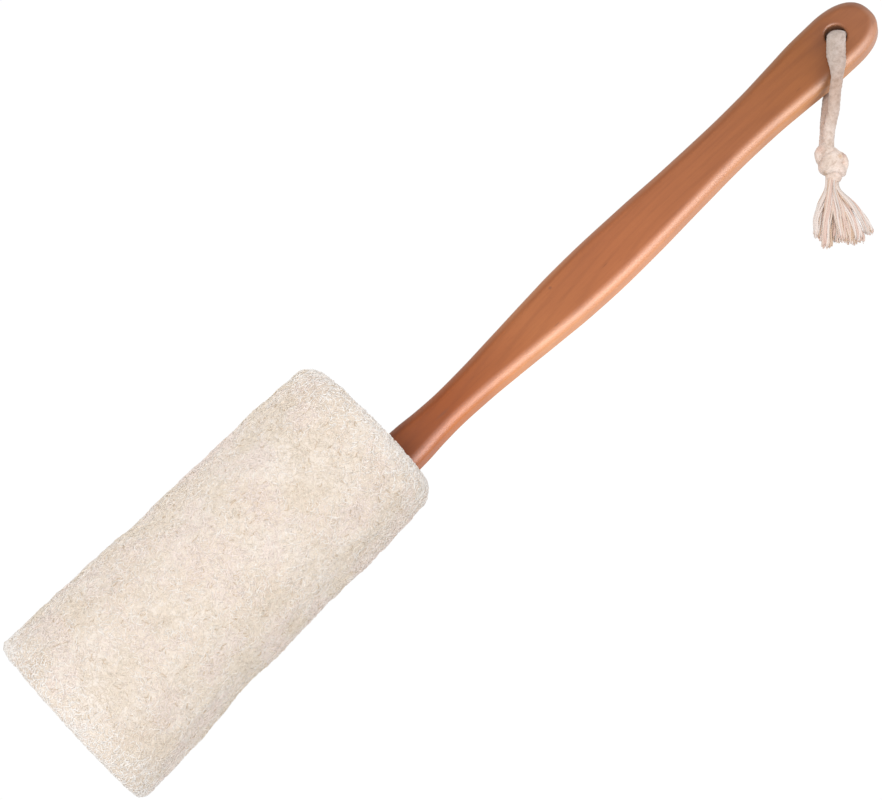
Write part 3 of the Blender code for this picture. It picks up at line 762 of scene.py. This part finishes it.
def core_web(mat):
    xs = np.concatenate([[2.2, 2.8, 3.6], np.arange(5, CORE_X1 - 2.5, 2.4), [CORE_X1 - 1.5, CORE_X1 - 0.6, CORE_X1]])
    rings = []
    for j, x in enumerate(xs):
        st = star(x, float(smooth(PAD_RADII, x)) - WALL - 0.35)
        r, a = st[:, 0], st[:, 1]
        q = np.stack([np.full(len(r), x), r * np.cos(a), r * np.sin(a)], -1)
        r = r + 0.5 * vnoise(q / 6, 21) + 0.25 * vnoise(q / 2.3, 22)
        if j == 0 or j == len(xs) - 1:
            r = r - 0.4
        rings.append(pad_ring(x, np.maximum(r, 2.0), a))
    V = np.array(rings)
    n, m = V.shape[:2]
    i = np.arange(n - 1)[:, None] * m
    k = np.arange(m)[None, :]
    quads = np.stack([i + k, i + m + k, i + m + (k + 1) % m, i + (k + 1) % m], -1).reshape(-1, 4)
    c0, c1 = n * m, n * m + 1
    verts = np.vstack([V.reshape(-1, 3), pad_ring(xs[0] + 0.3, np.array([0.0]), np.array([0.0])), pad_ring(xs[-1] - 0.3, np.array([0.0]), np.array([0.0]))])
    k = np.arange(m)
    t0 = np.stack([np.full(m, c0), k, (k + 1) % m], -1)
    t1 = np.stack([np.full(m, c1), (n - 1) * m + (k + 1) % m, (n - 1) * m + k], -1)
    ob = fast_mesh("luffa_core_web", to_row(verts), quads, mat, "scrubber", np.concatenate([t0, t1]))
    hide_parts("luffa_core")
    return ob


def pad_ring(x, r, a):
    return pad_place(x, r * np.cos(a), r * np.sin(a))


core = core_web(LUFFA)


def end_fibres(name, count, x_near, deep, seed):
    """Fibres on the web's walls, its cut edges and the mat's inside, near an open end."""
    rng = np.random.default_rng(seed)
    points = 8
    kind = rng.choice(3, count, p=[0.42, 0.28, 0.30])
    sgn = 1 if x_near < 80 else -1
    t = np.linspace(0, 1, points)[None]
    paths = np.empty((count, points, 3))
    ref = np.empty((count, points, 3))
    L = rng.uniform(4, 12, count)
    walk = np.cumsum(rng.normal(0, 1.0, (count, points, 2)) * (L[:, None, None] / points) * 0.5, 1)
    for i in range(count):
        x0 = x_near + sgn * deep * rng.uniform(0, 1) ** 1.8
        d = rng.uniform(0, math.pi)
        u = (t[0] - 0.5) * L[i]
        if kind[i] == 0:  # a septum's wall
            k = rng.integers(3)
            sep_a = math.radians(SEPTUM_TURN + 120 * k)
            r0 = rng.uniform(5, 30.5)
            rr = np.clip(r0 + u * math.sin(d) + walk[i, :, 0], 4, 31.2)
            xx = x0 + u * math.cos(d) + walk[i, :, 1]
            side = rng.choice((-1, 1))
            off = side * (2.25 + 1.6 * np.exp(-(rr - 4) / 3.5) + rng.uniform(-0.1, 0.25))
            y = rr * math.cos(sep_a) - off * math.sin(sep_a)
            z = rr * math.sin(sep_a) + off * math.cos(sep_a)
            nrm = np.array([0, -side * math.sin(sep_a), side * math.cos(sep_a)])
        elif kind[i] == 1:  # the web's cut end
            k = rng.integers(3)
            sep_a = math.radians(SEPTUM_TURN + 120 * k)
            r0 = abs(rng.normal(0, 1)) * 3 if rng.uniform() < 0.25 else rng.uniform(2, 31)
            off0 = rng.uniform(-2.2, 2.2)
            u = u * 0.55
            rr = np.clip(r0 + u * math.cos(d) + walk[i, :, 0] * 0.6, -3, 31.2)
            off = np.clip(off0 + u * math.sin(d) * 0.5 + walk[i, :, 1] * 0.4, -2.4, 2.4)
            xx = np.full(points, (2.0 if sgn > 0 else CORE_X1 + 0.2)) - sgn * rng.uniform(-0.1, 0.35) + 0.1 * np.sin(9 * t[0] + i)
            y = rr * math.cos(sep_a) - off * math.sin(sep_a)
            z = rr * math.sin(sep_a) + off * math.cos(sep_a)
            nrm = np.array([-sgn, 0, 0])
        else:  # the mat's inside
            a0 = rng.uniform(0, 2 * math.pi)
            aa = a0 + (u * math.sin(d) + walk[i, :, 0]) / 34
            xx = x0 + u * math.cos(d) + walk[i, :, 1]
            R = inner_radius(xx) - 0.45
            y, z = R * np.cos(aa), R * np.sin(aa)
            nrm = None
        lo, hi = (1.2, 60) if sgn > 0 else (100, X1 + 5.6 if kind[i] == 2 else CORE_X1 + 0.5)
        xx = np.clip(xx, lo, hi) if kind[i] != 1 else xx
        paths[i] = pad_place(xx, y, z)
        ref[i] = nrm if nrm is not None else np.stack([np.zeros(points), -np.cos(aa), -np.sin(aa)], -1)
    paths[..., 2] = np.maximum(paths[..., 2], 1.6)
    rad = rng.uniform(0.13, 0.26, (count, 1)) * np.ones((1, points))
    rad[:, 0] *= 0.5
    rad[:, -1] *= 0.5
    return tubes(name, paths, rad, FIBRES, "scrubber", ref=ref, tones=rng.choice(4, count, p=[0.40, 0.15, 0.15, 0.30]))


end_fibres("luffa_end_fibres_free", 2600, 2.0, 46, 300)
end_fibres("luffa_end_fibres_neck", 2600, CORE_X1, 46, 301)

# glue: a milky amber sleeve that stays as the CAD has it
glue_mat, nt, p = new_material("set_glue")
gn = noise_tex(nt, coords(nt), 0.5, 3, 0.6)
nt.links.new(ramp(nt, gn, [(0.3, (0.60, 0.47, 0.26)), (0.7, (0.76, 0.66, 0.45))]), p.inputs["Base Color"])
nt.links.new(bump(nt, gn, 0.4, 0.0006), p.inputs["Normal"])
p.inputs["Roughness"].default_value = 0.35
p.inputs["Subsurface Weight"].default_value = 0.2
p.inputs["Subsurface Scale"].default_value = 0.003
frame["nodes"]["tang_glue"].data.materials.clear()
frame["nodes"]["tang_glue"].data.materials.append(glue_mat)

# ------------------------------------------------------------------ hanging cord
CD, SD = math.cos(math.radians(CORD_DIR)), math.sin(math.radians(CORD_DIR))
W_AXIS = np.array([-SD, CD, 0.0])
S_AXIS = np.array([CD, SD, 0.0])


def cord_point(s, w, z):
    """s along the cord's direction from the hole's axis, w across it, z above the floor; bench mm."""
    s, w, z = np.broadcast_arrays(np.asarray(s, float), np.asarray(w, float), np.asarray(z, float))
    return np.stack([HOLE.x + s * CD - w * SD, HOLE.y + s * SD + w * CD, z], -1)


def spline(points, step):
    """Centripetal Catmull-Rom through the points, read every step mm."""
    p = [np.array(q, float) for q in points]
    p = [2 * p[0] - p[1]] + p + [2 * p[-1] - p[-2]]
    fine = []
    for i in range(1, len(p) - 2):
        t = [0.0]
        for k in range(3):
            t.append(t[-1] + max(np.linalg.norm(p[i + k] - p[i + k - 1]), 1e-6) ** 0.5)
        u = t[1] + (t[2] - t[1]) * np.arange(24)[:, None] / 24
        a1 = (t[1] - u) / (t[1] - t[0]) * p[i - 1] + (u - t[0]) / (t[1] - t[0]) * p[i]
        a2 = (t[2] - u) / (t[2] - t[1]) * p[i] + (u - t[1]) / (t[2] - t[1]) * p[i + 1]
        a3 = (t[3] - u) / (t[3] - t[2]) * p[i + 1] + (u - t[2]) / (t[3] - t[2]) * p[i + 2]
        b1 = (t[2] - u) / (t[2] - t[0]) * a1 + (u - t[0]) / (t[2] - t[0]) * a2
        b2 = (t[3] - u) / (t[3] - t[1]) * a2 + (u - t[1]) / (t[3] - t[1]) * a3
        fine.extend((t[2] - u) / (t[2] - t[1]) * b1 + (u - t[1]) / (t[2] - t[1]) * b2)
    fine.append(p[-2])
    fine = np.array(fine)
    run = np.concatenate([[0], np.cumsum(np.linalg.norm(np.diff(fine, axis=0), axis=1))])
    n = max(2, round(run[-1] / step))
    d = np.linspace(0, run[-1], n + 1)
    return np.stack([np.interp(d, run, fine[:, c]) for c in range(3)], 1), run[-1]


def braid(theta, l, pitch, strands):
    """Over-and-under relief of a braid, 0 to 1, at angle theta and length l."""
    a = strands * theta / (2 * math.pi) + l / pitch
    b = strands * theta / (2 * math.pi) - l / pitch
    ca, cb = np.cos(math.pi * a) ** 2, np.cos(math.pi * b) ** 2
    over = 0.5 + 0.5 * np.tanh(3 * np.sin(math.pi * (a + b) / 1) * np.sin(math.pi * (a - b) / 1) + 1.2 * (ca - cb))
    return np.sqrt(np.clip(over * ca + (1 - over) * cb, 0, 1))


def rope(name, centre, half_w, half_h, mat, body, around=72, pitch=2.5, strands=6, amp=0.20, width_dir=None, seed=0, fuzz=0.08, cap=True):
    """A soft braided rope along centre (n, 3) in bench mm. Its section is half_w wide along width_dir and half_h high."""
    n = len(centre)
    t = np.gradient(centre, axis=0)
    t /= np.linalg.norm(t, axis=1)[:, None]
    w = np.broadcast_to(W_AXIS if width_dir is None else width_dir, t.shape)
    w = w - t * (w * t).sum(1, keepdims=True)
    w /= np.linalg.norm(w, axis=1)[:, None]
    h = np.cross(t, w)
    l = np.concatenate([[0], np.cumsum(np.linalg.norm(np.diff(centre, axis=0), axis=1))])
    hw = np.broadcast_to(half_w, n).astype(float)
    hh = np.broadcast_to(half_h, n).astype(float)
    th = 2 * math.pi * np.arange(around) / around
    T, L = np.meshgrid(th, l)
    rel = amp * (braid(T, L, pitch, strands) - 0.75)
    e = 0.86
    cx = np.sign(np.cos(T)) * np.abs(np.cos(T)) ** e
    sy = np.sign(np.sin(T)) * np.abs(np.sin(T)) ** e
    nx, ny = np.cos(T) * hh[:, None], np.sin(T) * hw[:, None]
    ln = np.hypot(nx, ny)
    X = cx * hw[:, None] + rel * nx / ln
    Y = sy * hh[:, None] + rel * ny / ln
    V = centre[:, None, :] + X[..., None] * w[:, None, :] + Y[..., None] * h[:, None, :]
    q = V + seed * 31.7
    V = V + (fuzz * vnoise(q / 0.9, 41) + 0.6 * fuzz * vnoise(q / 2.8, 42))[..., None] * ((V - centre[:, None, :]) / np.maximum(np.linalg.norm(V - centre[:, None, :], axis=-1, keepdims=True), 1e-6))
    if cap:  # rounded ends
        for end, sgn in ((0, -1), (-1, 1)):
            V[end] = centre[end] + (V[end] - centre[end]) * 0.55 + sgn * t[end] * 0.3
    V[..., 2] = np.maximum(V[..., 2], 0.03)
    i = np.arange(n - 1)[:, None] * around
    k = np.arange(around)[None, :]
    k2 = (k + 1) % around
    quads = np.stack([i + k, i + k2, i + around + k2, i + around + k], -1).reshape(-1, 4)
    verts = np.vstack([V.reshape(-1, 3), centre[:1] - t[:1] * 0.3, centre[-1:] + t[-1:] * 0.3])
    k = np.arange(around)
    t0 = np.stack([np.full(around, n * around), (k + 1) % around, k], -1)
    t1 = np.stack([np.full(around, n * around + 1), (n - 1) * around + k, (n - 1) * around + (k + 1) % around], -1)
    ob = fast_mesh(name, to_row(verts), quads, mat, body, np.concatenate([t0, t1]))
    return ob


def cotton_material():
    m, nt, p = new_material("cotton_braid")
    v = coords(nt)
    a = noise_tex(nt, v, 0.16, 3, 0.5)
    b = noise_tex(nt, v, 1.3, 4, 0.65, 0.5)
    c = ramp(nt, a, [(0.3, (0.76, 0.635, 0.55)), (0.55, (0.83, 0.72, 0.645)), (0.75, (0.87, 0.78, 0.72))])
    c = mix(nt, "MULTIPLY", 0.75, c, ramp(nt, b, [(0.32, (0.80, 0.74, 0.68)), (0.5, (1, 1, 1)), (0.8, (1.04, 1.04, 1.04))]))
    blot = noise_tex(nt, v, 0.55, 3, 0.55, 0.4)
    c = mix(nt, "MULTIPLY", 0.9, c, ramp(nt, blot, [(0.32, (0.80, 0.76, 0.73)), (0.5, (0.97, 0.96, 0.95)), (0.68, (1.08, 1.08, 1.09))]))

    def axis_value(direction, origin):
        """Distance in mm along a direction from a bench point."""
        tc = node(nt, "ShaderNodeTexCoord")
        dot = node(nt, "ShaderNodeVectorMath", operation="DOT_PRODUCT")
        nt.links.new(tc.outputs["Object"], dot.inputs[0])
        dot.inputs[1].default_value = tuple(float(q) * 1000 for q in direction)
        return maths(nt, "SUBTRACT", dot.outputs["Value"], float(np.dot(to_row(origin) * 1000, direction)))

    along = axis_value(S_AXIS, tuple(HOLE))
    across = axis_value(W_AXIS, tuple(HOLE))
    # painted shade: the cord is darker and greyer near the hole and over the handle, lighter towards the knot
    cord_shade_paint = ramp(
        nt, maths(nt, "DIVIDE", along, 60.0, clamp=True),
        [(0.0, (0.66, 0.63, 0.62)), (0.22, (0.68, 0.635, 0.62)), (0.38, (0.70, 0.60, 0.55)), (0.60, (0.92, 0.88, 0.87)), (0.8, (0.97, 0.93, 0.91))],
    )
    c = mix(nt, "MULTIPLY", 1.0, c, cord_shade_paint)
    # painted light and shade: the cord is lighter on its lit side and darker on the other
    side_shade_paint = ramp(nt, maths(nt, "ADD", maths(nt, "DIVIDE", across, 8.0), 0.5, clamp=True), [(0.0, (0.90, 0.88, 0.87)), (0.45, (0.96, 0.96, 0.95)), (1.0, (1.10, 1.09, 1.10))])
    c = mix(nt, "MULTIPLY", 0.8, c, side_shade_paint)
    # darker, tinted patches on the knot
    for (s, w, z), radii, tint in (
        ((-3.6, -4.0, 2.6), (2.4, 1.9, 3.2), (0.90, 0.75, 0.69)),
        ((-0.6, 3.6, 3.4), (1.7, 1.3, 2.6), (0.86, 0.72, 0.55)),
        ((-2.2, 4.9, 2.0), (1.9, 1.6, 2.6), (0.90, 0.83, 0.84)),
        ((5.2, -1.9, 1.0), (1.5, 1.1, 2.6), (0.80, 0.74, 0.64)),
    ):
        here = spot_mask(nt, tuple(cord_point(KNOT_S + s, w, KNOT_Z + z)), radii, 0.0)
        c = mix(nt, "MULTIPLY", maths(nt, "MULTIPLY", here, 1.6, clamp=True), c, tint)
    nt.links.new(c, p.inputs["Base Color"])
    p.inputs["Roughness"].default_value = 0.95
    p.inputs["Specular IOR Level"].default_value = 0.15
    p.inputs["Sheen Weight"].default_value = 0.3
    p.inputs["Sheen Roughness"].default_value = 0.5
    h = noise_tex(nt, coords(nt, (900, 900, 900)), 2.6, 3, 0.7, 1.0)
    nt.links.new(bump(nt, h, 0.55, 0.0003), p.inputs["Normal"])
    return m


COTTON = cotton_material()
YARNS = [
    plain_fibre("yarn_cream", (0.76, 0.62, 0.53), 0.92, 0.2),
    plain_fibre("yarn_pale", (0.79, 0.69, 0.635), 0.92, 0.2),
    plain_fibre("yarn_tan", (0.68, 0.50, 0.37), 0.92, 0.15),
    plain_fibre("yarn_rose", (0.73, 0.54, 0.46), 0.92, 0.2),
    plain_fibre("yarn_grey", (0.69, 0.61, 0.56), 0.92, 0.2),
]

CZ = HOLE.z
route = [(44.6, -2.6, 3.5), (42.0, -3.1, 2.7), (36, -3.2, 2.55), (29, -3.2, 2.5), (21, -2.8, 2.5), (14, -1.8, 2.5)]
for a in (-90, -120, -150, 180, 150, 120, 90):
    t = math.radians(a)
    route.append((TURN_S + TURN_R * math.cos(t), -0.9 + 1.3 * (abs((a if a > 0 else a + 360) - 270) / 180), CZ + TURN_R * math.sin(t)))
route += [
    (13, 0.8, 20.8), (18, 1.0, 20.4), (22, 1.1, 18.7), (25.5, 0.95, 15.7), (29, 0.4, 12.3), (32.5, -0.55, 9.6),
    (36, -1.25, 8.0), (39.2, -1.5, 7.45), (41.5, -1.45, 7.3), (44.2, -1.3, 7.0),
]
loop_line, LOOP_LENGTH = spline([cord_point(*q) for q in route], 0.22)
run = np.linspace(0, LOOP_LENGTH, len(loop_line))
REST_S = (loop_line[:, 0] - HOLE.x) * CD + (loop_line[:, 1] - HOLE.y) * SD
front = run > LOOP_LENGTH * 0.5


def ease(x, a, b):
    u = np.clip((x - a) / (b - a), 0, 1)
    return u * u * (3 - 2 * u)


# the front strand spreads flat where it leaves the hole, and narrows again over the handle's edge
s_top = run - float(run[np.argmax(loop_line[:, 2] > 17.0)])
flat = ease(s_top, -6.0, -0.5) * (1 - ease(s_top, 9.5, 20.5))
half_w = 2.32 + 1.43 * flat
half_h = 2.15 - 0.45 * flat
drop = 1.35 * ease(s_top, 1.0, 6.5) * (1 - ease(s_top, 16.5, 23.0))
rope_line = loop_line.copy()
rope_line[:, 2] -= drop
across = 0.5 * ease(s_top, -6, -1) + 0.4 * ease(s_top, 9, 14) - 0.9 * ease(s_top, 19, 27)
rope_line += across[:, None] * W_AXIS
# it leaves the hole a little twisted
twist = 0.20 * ease(s_top, -6.0, -1.0) * (1 - ease(s_top, 4.0, 12.0))
cord = rope("cord_braid", rope_line, half_w, half_h, COTTON, "hang_cord", around=84, pitch=1.9, strands=9, amp=0.17, width_dir=W_AXIS - twist[:, None] * S_AXIS, seed=1)
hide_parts("cord_loop")

# ---- the knot: the rope's own turns drawn tight round each other
def knot_path(points, step=0.25):
    return spline([cord_point(KNOT_S + s, w, KNOT_Z + z) for s, w, z in points], step)[0]


def turn(r_w, r_z, s_of, a0, a1, n=20, w0=0.0):
    """A turn round the knot's axis; s_of gives the place along the axis for each angle."""
    out = []
    for k in range(n):
        a = math.radians(a0 + (a1 - a0) * k / (n - 1))
        out.append((s_of(a), w0 + r_w * math.cos(a), r_z * math.sin(a)))
    return out


def knot_rope(name, path, hw, hh, seed, wide=None, amp=0.13, around=60):
    return rope(name, path, hw, hh, COTTON, "hang_cord", around=around, pitch=1.9, strands=9, amp=amp, width_dir=S_AXIS if wide is None else wide, seed=seed, fuzz=0.06)


# the cross turn runs from the upper right over the top to the lower left, and back underneath
cross = knot_path(turn(3.4, 3.45, lambda a: 0.5 - 1.8 * math.cos(a), 38, 325, w0=0.7))
n = len(cross)
knot_a = knot_rope("knot_wrap", cross, 3.1 * np.interp(np.arange(n) / n, [0, 0.12, 0.4, 0.55, 0.8, 1], [0.8, 1, 1, 0.80, 0.7, 0.6]), 2.3, 2)
lower = knot_path([(3.0, -2.3, -1.6), (3.3, -2.0, 0.4), (3.3, -0.5, 2.3), (3.1, 1.6, 3.1), (3.2, 3.4, 2.4), (3.5, 4.4, 0.6), (3.6, 4.2, -1.6)])
knot_b = knot_rope("knot_under_turn", lower, 2.1, 1.7, 3)
left_bight = knot_path([(-5.5, -2.4, 1.2), (-4.1, -3.5, 1.9), (-2.6, -4.4, 1.7), (-1.1, -4.1, 0.6), (0.3, -3.2, -1.2)])
knot_c = knot_rope("knot_left_bight", left_bight, 2.1, 2.1, 4, np.array([0, 0, 1.0]))
right_bight = knot_path([(-2.9, 1.6, -0.4), (-2.3, 3.5, 0.8), (-0.6, 5.0, 1.2), (1.4, 5.3, 0.8), (3.4, 4.4, 0.0), (4.9, 2.8, -0.8)])
knot_d = knot_rope("knot_right_bight", right_bight, 1.35, 1.5, 5, np.array([0, 0, 1.0]))
heart = knot_path([(-6.2, -2.2, -0.4), (-4.6, -1.6, -0.6), (-2.4, -0.5, -0.8), (0.0, 0.3, -0.9), (2.4, 0.9, -1.2), (4.6, 1.0, -2.0), (6.8, 0.6, -2.7)])
n = len(heart)
knot_e = knot_rope("knot_heart", heart, np.interp(np.arange(n) / n, [0, 0.3, 0.7, 1], [2.4, 4.3, 4.1, 2.7]), np.interp(np.arange(n) / n, [0, 0.3, 0.7, 1], [3.6, 4.2, 3.7, 2.6]), 6, W_AXIS)
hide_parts("cord_knot")

# ---- the frayed tail
YARN_R0, YARN_R1 = 0.85, 1.30
NECK_S = KNOT_S + KNOT_R + 0.35
neck = [(0.4 + 2.35 * math.cos(math.radians(a)), 3.6 + 2.35 * math.sin(math.radians(a))) for a in (154.3, 205.7, 102.9, 257.1)]
neck += [(0.4, 3.6)]
neck += [(0.4 + 2.35 * math.cos(math.radians(a)), 3.6 + 2.35 * math.sin(math.radians(a))) for a in (51.4, 308.6, 0.0)]
ends = [(77.6, -4.8, 2.4), (79.2, -2.1, 1.6), (82.4, -0.4, 3.6), (80.0, 3.2, 1.6), (79.8, 5.8, 3.2), (80.2, 8.9, 1.6), (79.2, 11.9, 2.8), (75.8, 15.3, 1.6)]
HANG = (0.70, 0.76, 0.82, 0.9, 0.9, 0.92, 0.93, 0.93)  # from this share of its length on, the bundle hangs straight


def fan(t, stop):
    """0 in the neck, 1 where the bundle hangs straight."""
    u = min(max((t - 0.09) / (stop - 0.09), 0.0), 1.0)
    return 0.5 * u * u * (3 - 2 * u) + 0.5 * u


STEPS = 10
bundle = np.zeros((8, STEPS + 1, 3))
for k in range(STEPS + 1):
    t = k / STEPS
    row = [[NECK_S + (s1 - NECK_S) * t, w0 + (w1 - w0) * fan(t, stop), z0 + (z1 - z0) * t] for (w0, z0), (s1, w1, z1), stop in zip(neck, ends, HANG)]
    r = YARN_R0 + (YARN_R1 - YARN_R0) * t
    for _ in range(60 if k else 0):
        for i in range(len(row)):
            for j in range(i):
                dw, dz = row[i][1] - row[j][1], row[i][2] - row[j][2]
                far = max(math.hypot(dw, dz), 1e-6)
                push = (2 * r + 0.32 - far) / 2
                if push > 0:
                    row[i][1] += push * dw / far
                    row[i][2] += push * dz / far
                    row[j][1] -= push * dw / far
                    row[j][2] -= push * dz / far
        for q in row:
            q[2] = max(q[2], r + 0.12)
    for i, q in enumerate(row):
        bundle[i, k] = q


def bundle_at(i, t):
    """(s, w, z) of bundle i's middle at t, -0.12 inside the knot to 1.12 past its end."""
    u = np.clip(t, 0, 1) * STEPS
    base = np.stack([np.interp(u, np.arange(STEPS + 1), bundle[i, :, c]) for c in range(3)], -1)
    over = np.where(t < 0, t, np.where(t > 1, t - 1, 0))[..., None]
    d0, d1 = bundle[i, 1] - bundle[i, 0], bundle[i, -1] - bundle[i, -2]
    return base + over * np.where((t < 0)[..., None], d0, d1) * STEPS


def tassel(i, threads, seed):
    """Bundle i: soft plied threads with blunt cut ends and a few loose filaments."""
    rng = np.random.default_rng(seed)
    P = 30
    t = np.linspace(-0.16, 1.0, P)
    out, rad, tone = [], [], []
    arch = (0.0, 0.0, 0.8, 0.0, 1.2, 0.5, 2.2, 2.6)[i]
    grow = (0.72, 0.85, 0.9, 1.1, 1.15, 1.15, 1.35, 1.05)[i]
    for k in range(threads):
        core_t = np.clip(t, 0, 1)
        # laid in a sunflower pattern over the bundle's section, with the outer ones a little shorter
        place = math.sqrt((k + 0.5) / threads)
        reach = (1.0, 0.985, 1.0, 0.965, 0.97, 0.975, 0.99, 0.99)[i] + rng.normal(0, 0.018) - 0.03 * place**3
        tt = t * np.where(t > 0, reach, 1)
        mid = bundle_at(i, tt)
        rho = place * (0.95 + (0.85 * grow) * core_t**0.8)
        phi0 = k * 2.39996
        tw = phi0 + 2.4 * tt + 0.35 * np.sin(4 * tt + phi0)
        flare = np.clip((tt - 0.7) / 0.3, 0, 1) ** 1.5
        # the knot holds them together
        pull = 0.28 * (1 - ease(tt, 0.08, 0.50))
        s = mid[:, 0] + flare * rng.normal(0, 0.25)
        w = mid[:, 1] + rho * np.cos(tw) + flare * rng.normal(0, 0.25) + 0.32 * np.clip(tt, 0, 1) ** 0.5 * np.sin(rng.uniform(8, 14) * tt + rng.uniform(0, 6))
        w -= pull * (w - 0.4) - (0.55, 0.25, 0.0, 0.0, 0.0, 0.0, 0.0, 0.0)[i] * core_t
        z = mid[:, 2] + 0.85 * rho * np.sin(tw) + arch * np.sin(np.pi * core_t) ** 1.2
        r = np.full(P, rng.uniform(0.36, 0.50)) * (0.78 + 0.22 * core_t) * (1 - 0.10 * flare)
        r[-1] *= 0.75
        z = np.maximum(z, r + 0.05)
        out.append(cord_point(s, w, z))
        rad.append(r)
        # painted shade: threads lying low in the bundle take the darker tones
        tone.append(rng.choice(len(YARNS), p=SHADED_TONES if math.sin(phi0 + 1.2) < -0.35 else TONES[i]))
        if rng.uniform() < 0.5:  # a loose filament
            f = np.clip((tt - rng.uniform(0.5, 0.8)) / 0.5, 0, 1) ** 1.5
            s2 = s + 0.5 * f * rng.uniform(0, 1)
            w2 = w + f * rng.normal(0, 0.9) + 0.10 * np.sin(14 * tt + rng.uniform(0, 6))
            z2 = np.maximum(z + f * rng.normal(0, 0.5) + 0.10 * np.cos(14 * tt + rng.uniform(0, 6)), 0.14)
            out.append(cord_point(s2, w2, z2))
            rad.append(np.full(P, rng.uniform(0.08, 0.13)))
            tone.append(rng.choice(len(YARNS), p=TONES[i]))
    return np.array(out), np.array(rad), np.array(tone)


# shares of cream, pale, tan, rose and grey threads in each bundle
TONES = (
    (0.20, 0.35, 0.00, 0.05, 0.40), (0.40, 0.40, 0.00, 0.15, 0.05), (0.35, 0.20, 0.10, 0.30, 0.05), (0.45, 0.25, 0.10, 0.10, 0.10),
    (0.45, 0.20, 0.15, 0.15, 0.05), (0.35, 0.15, 0.28, 0.20, 0.02), (0.35, 0.30, 0.05, 0.25, 0.05), (0.25, 0.35, 0.00, 0.10, 0.30),
)
# painted shade: tones for threads lying low in a bundle, mostly tan and rose
SHADED_TONES = (0.10, 0.0, 0.50, 0.40, 0.0)
for i in range(8):
    P, R, T = tassel(i, 26, 500 + i)
    ob = tubes(f"tassel_threads_{i + 1}", P, R, YARNS, "hang_cord", sides=5, tones=T)
    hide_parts(f"tassel_yarn_{i + 1}")

tuple(to_row(cord_point(15, -1.9, 2.5)))
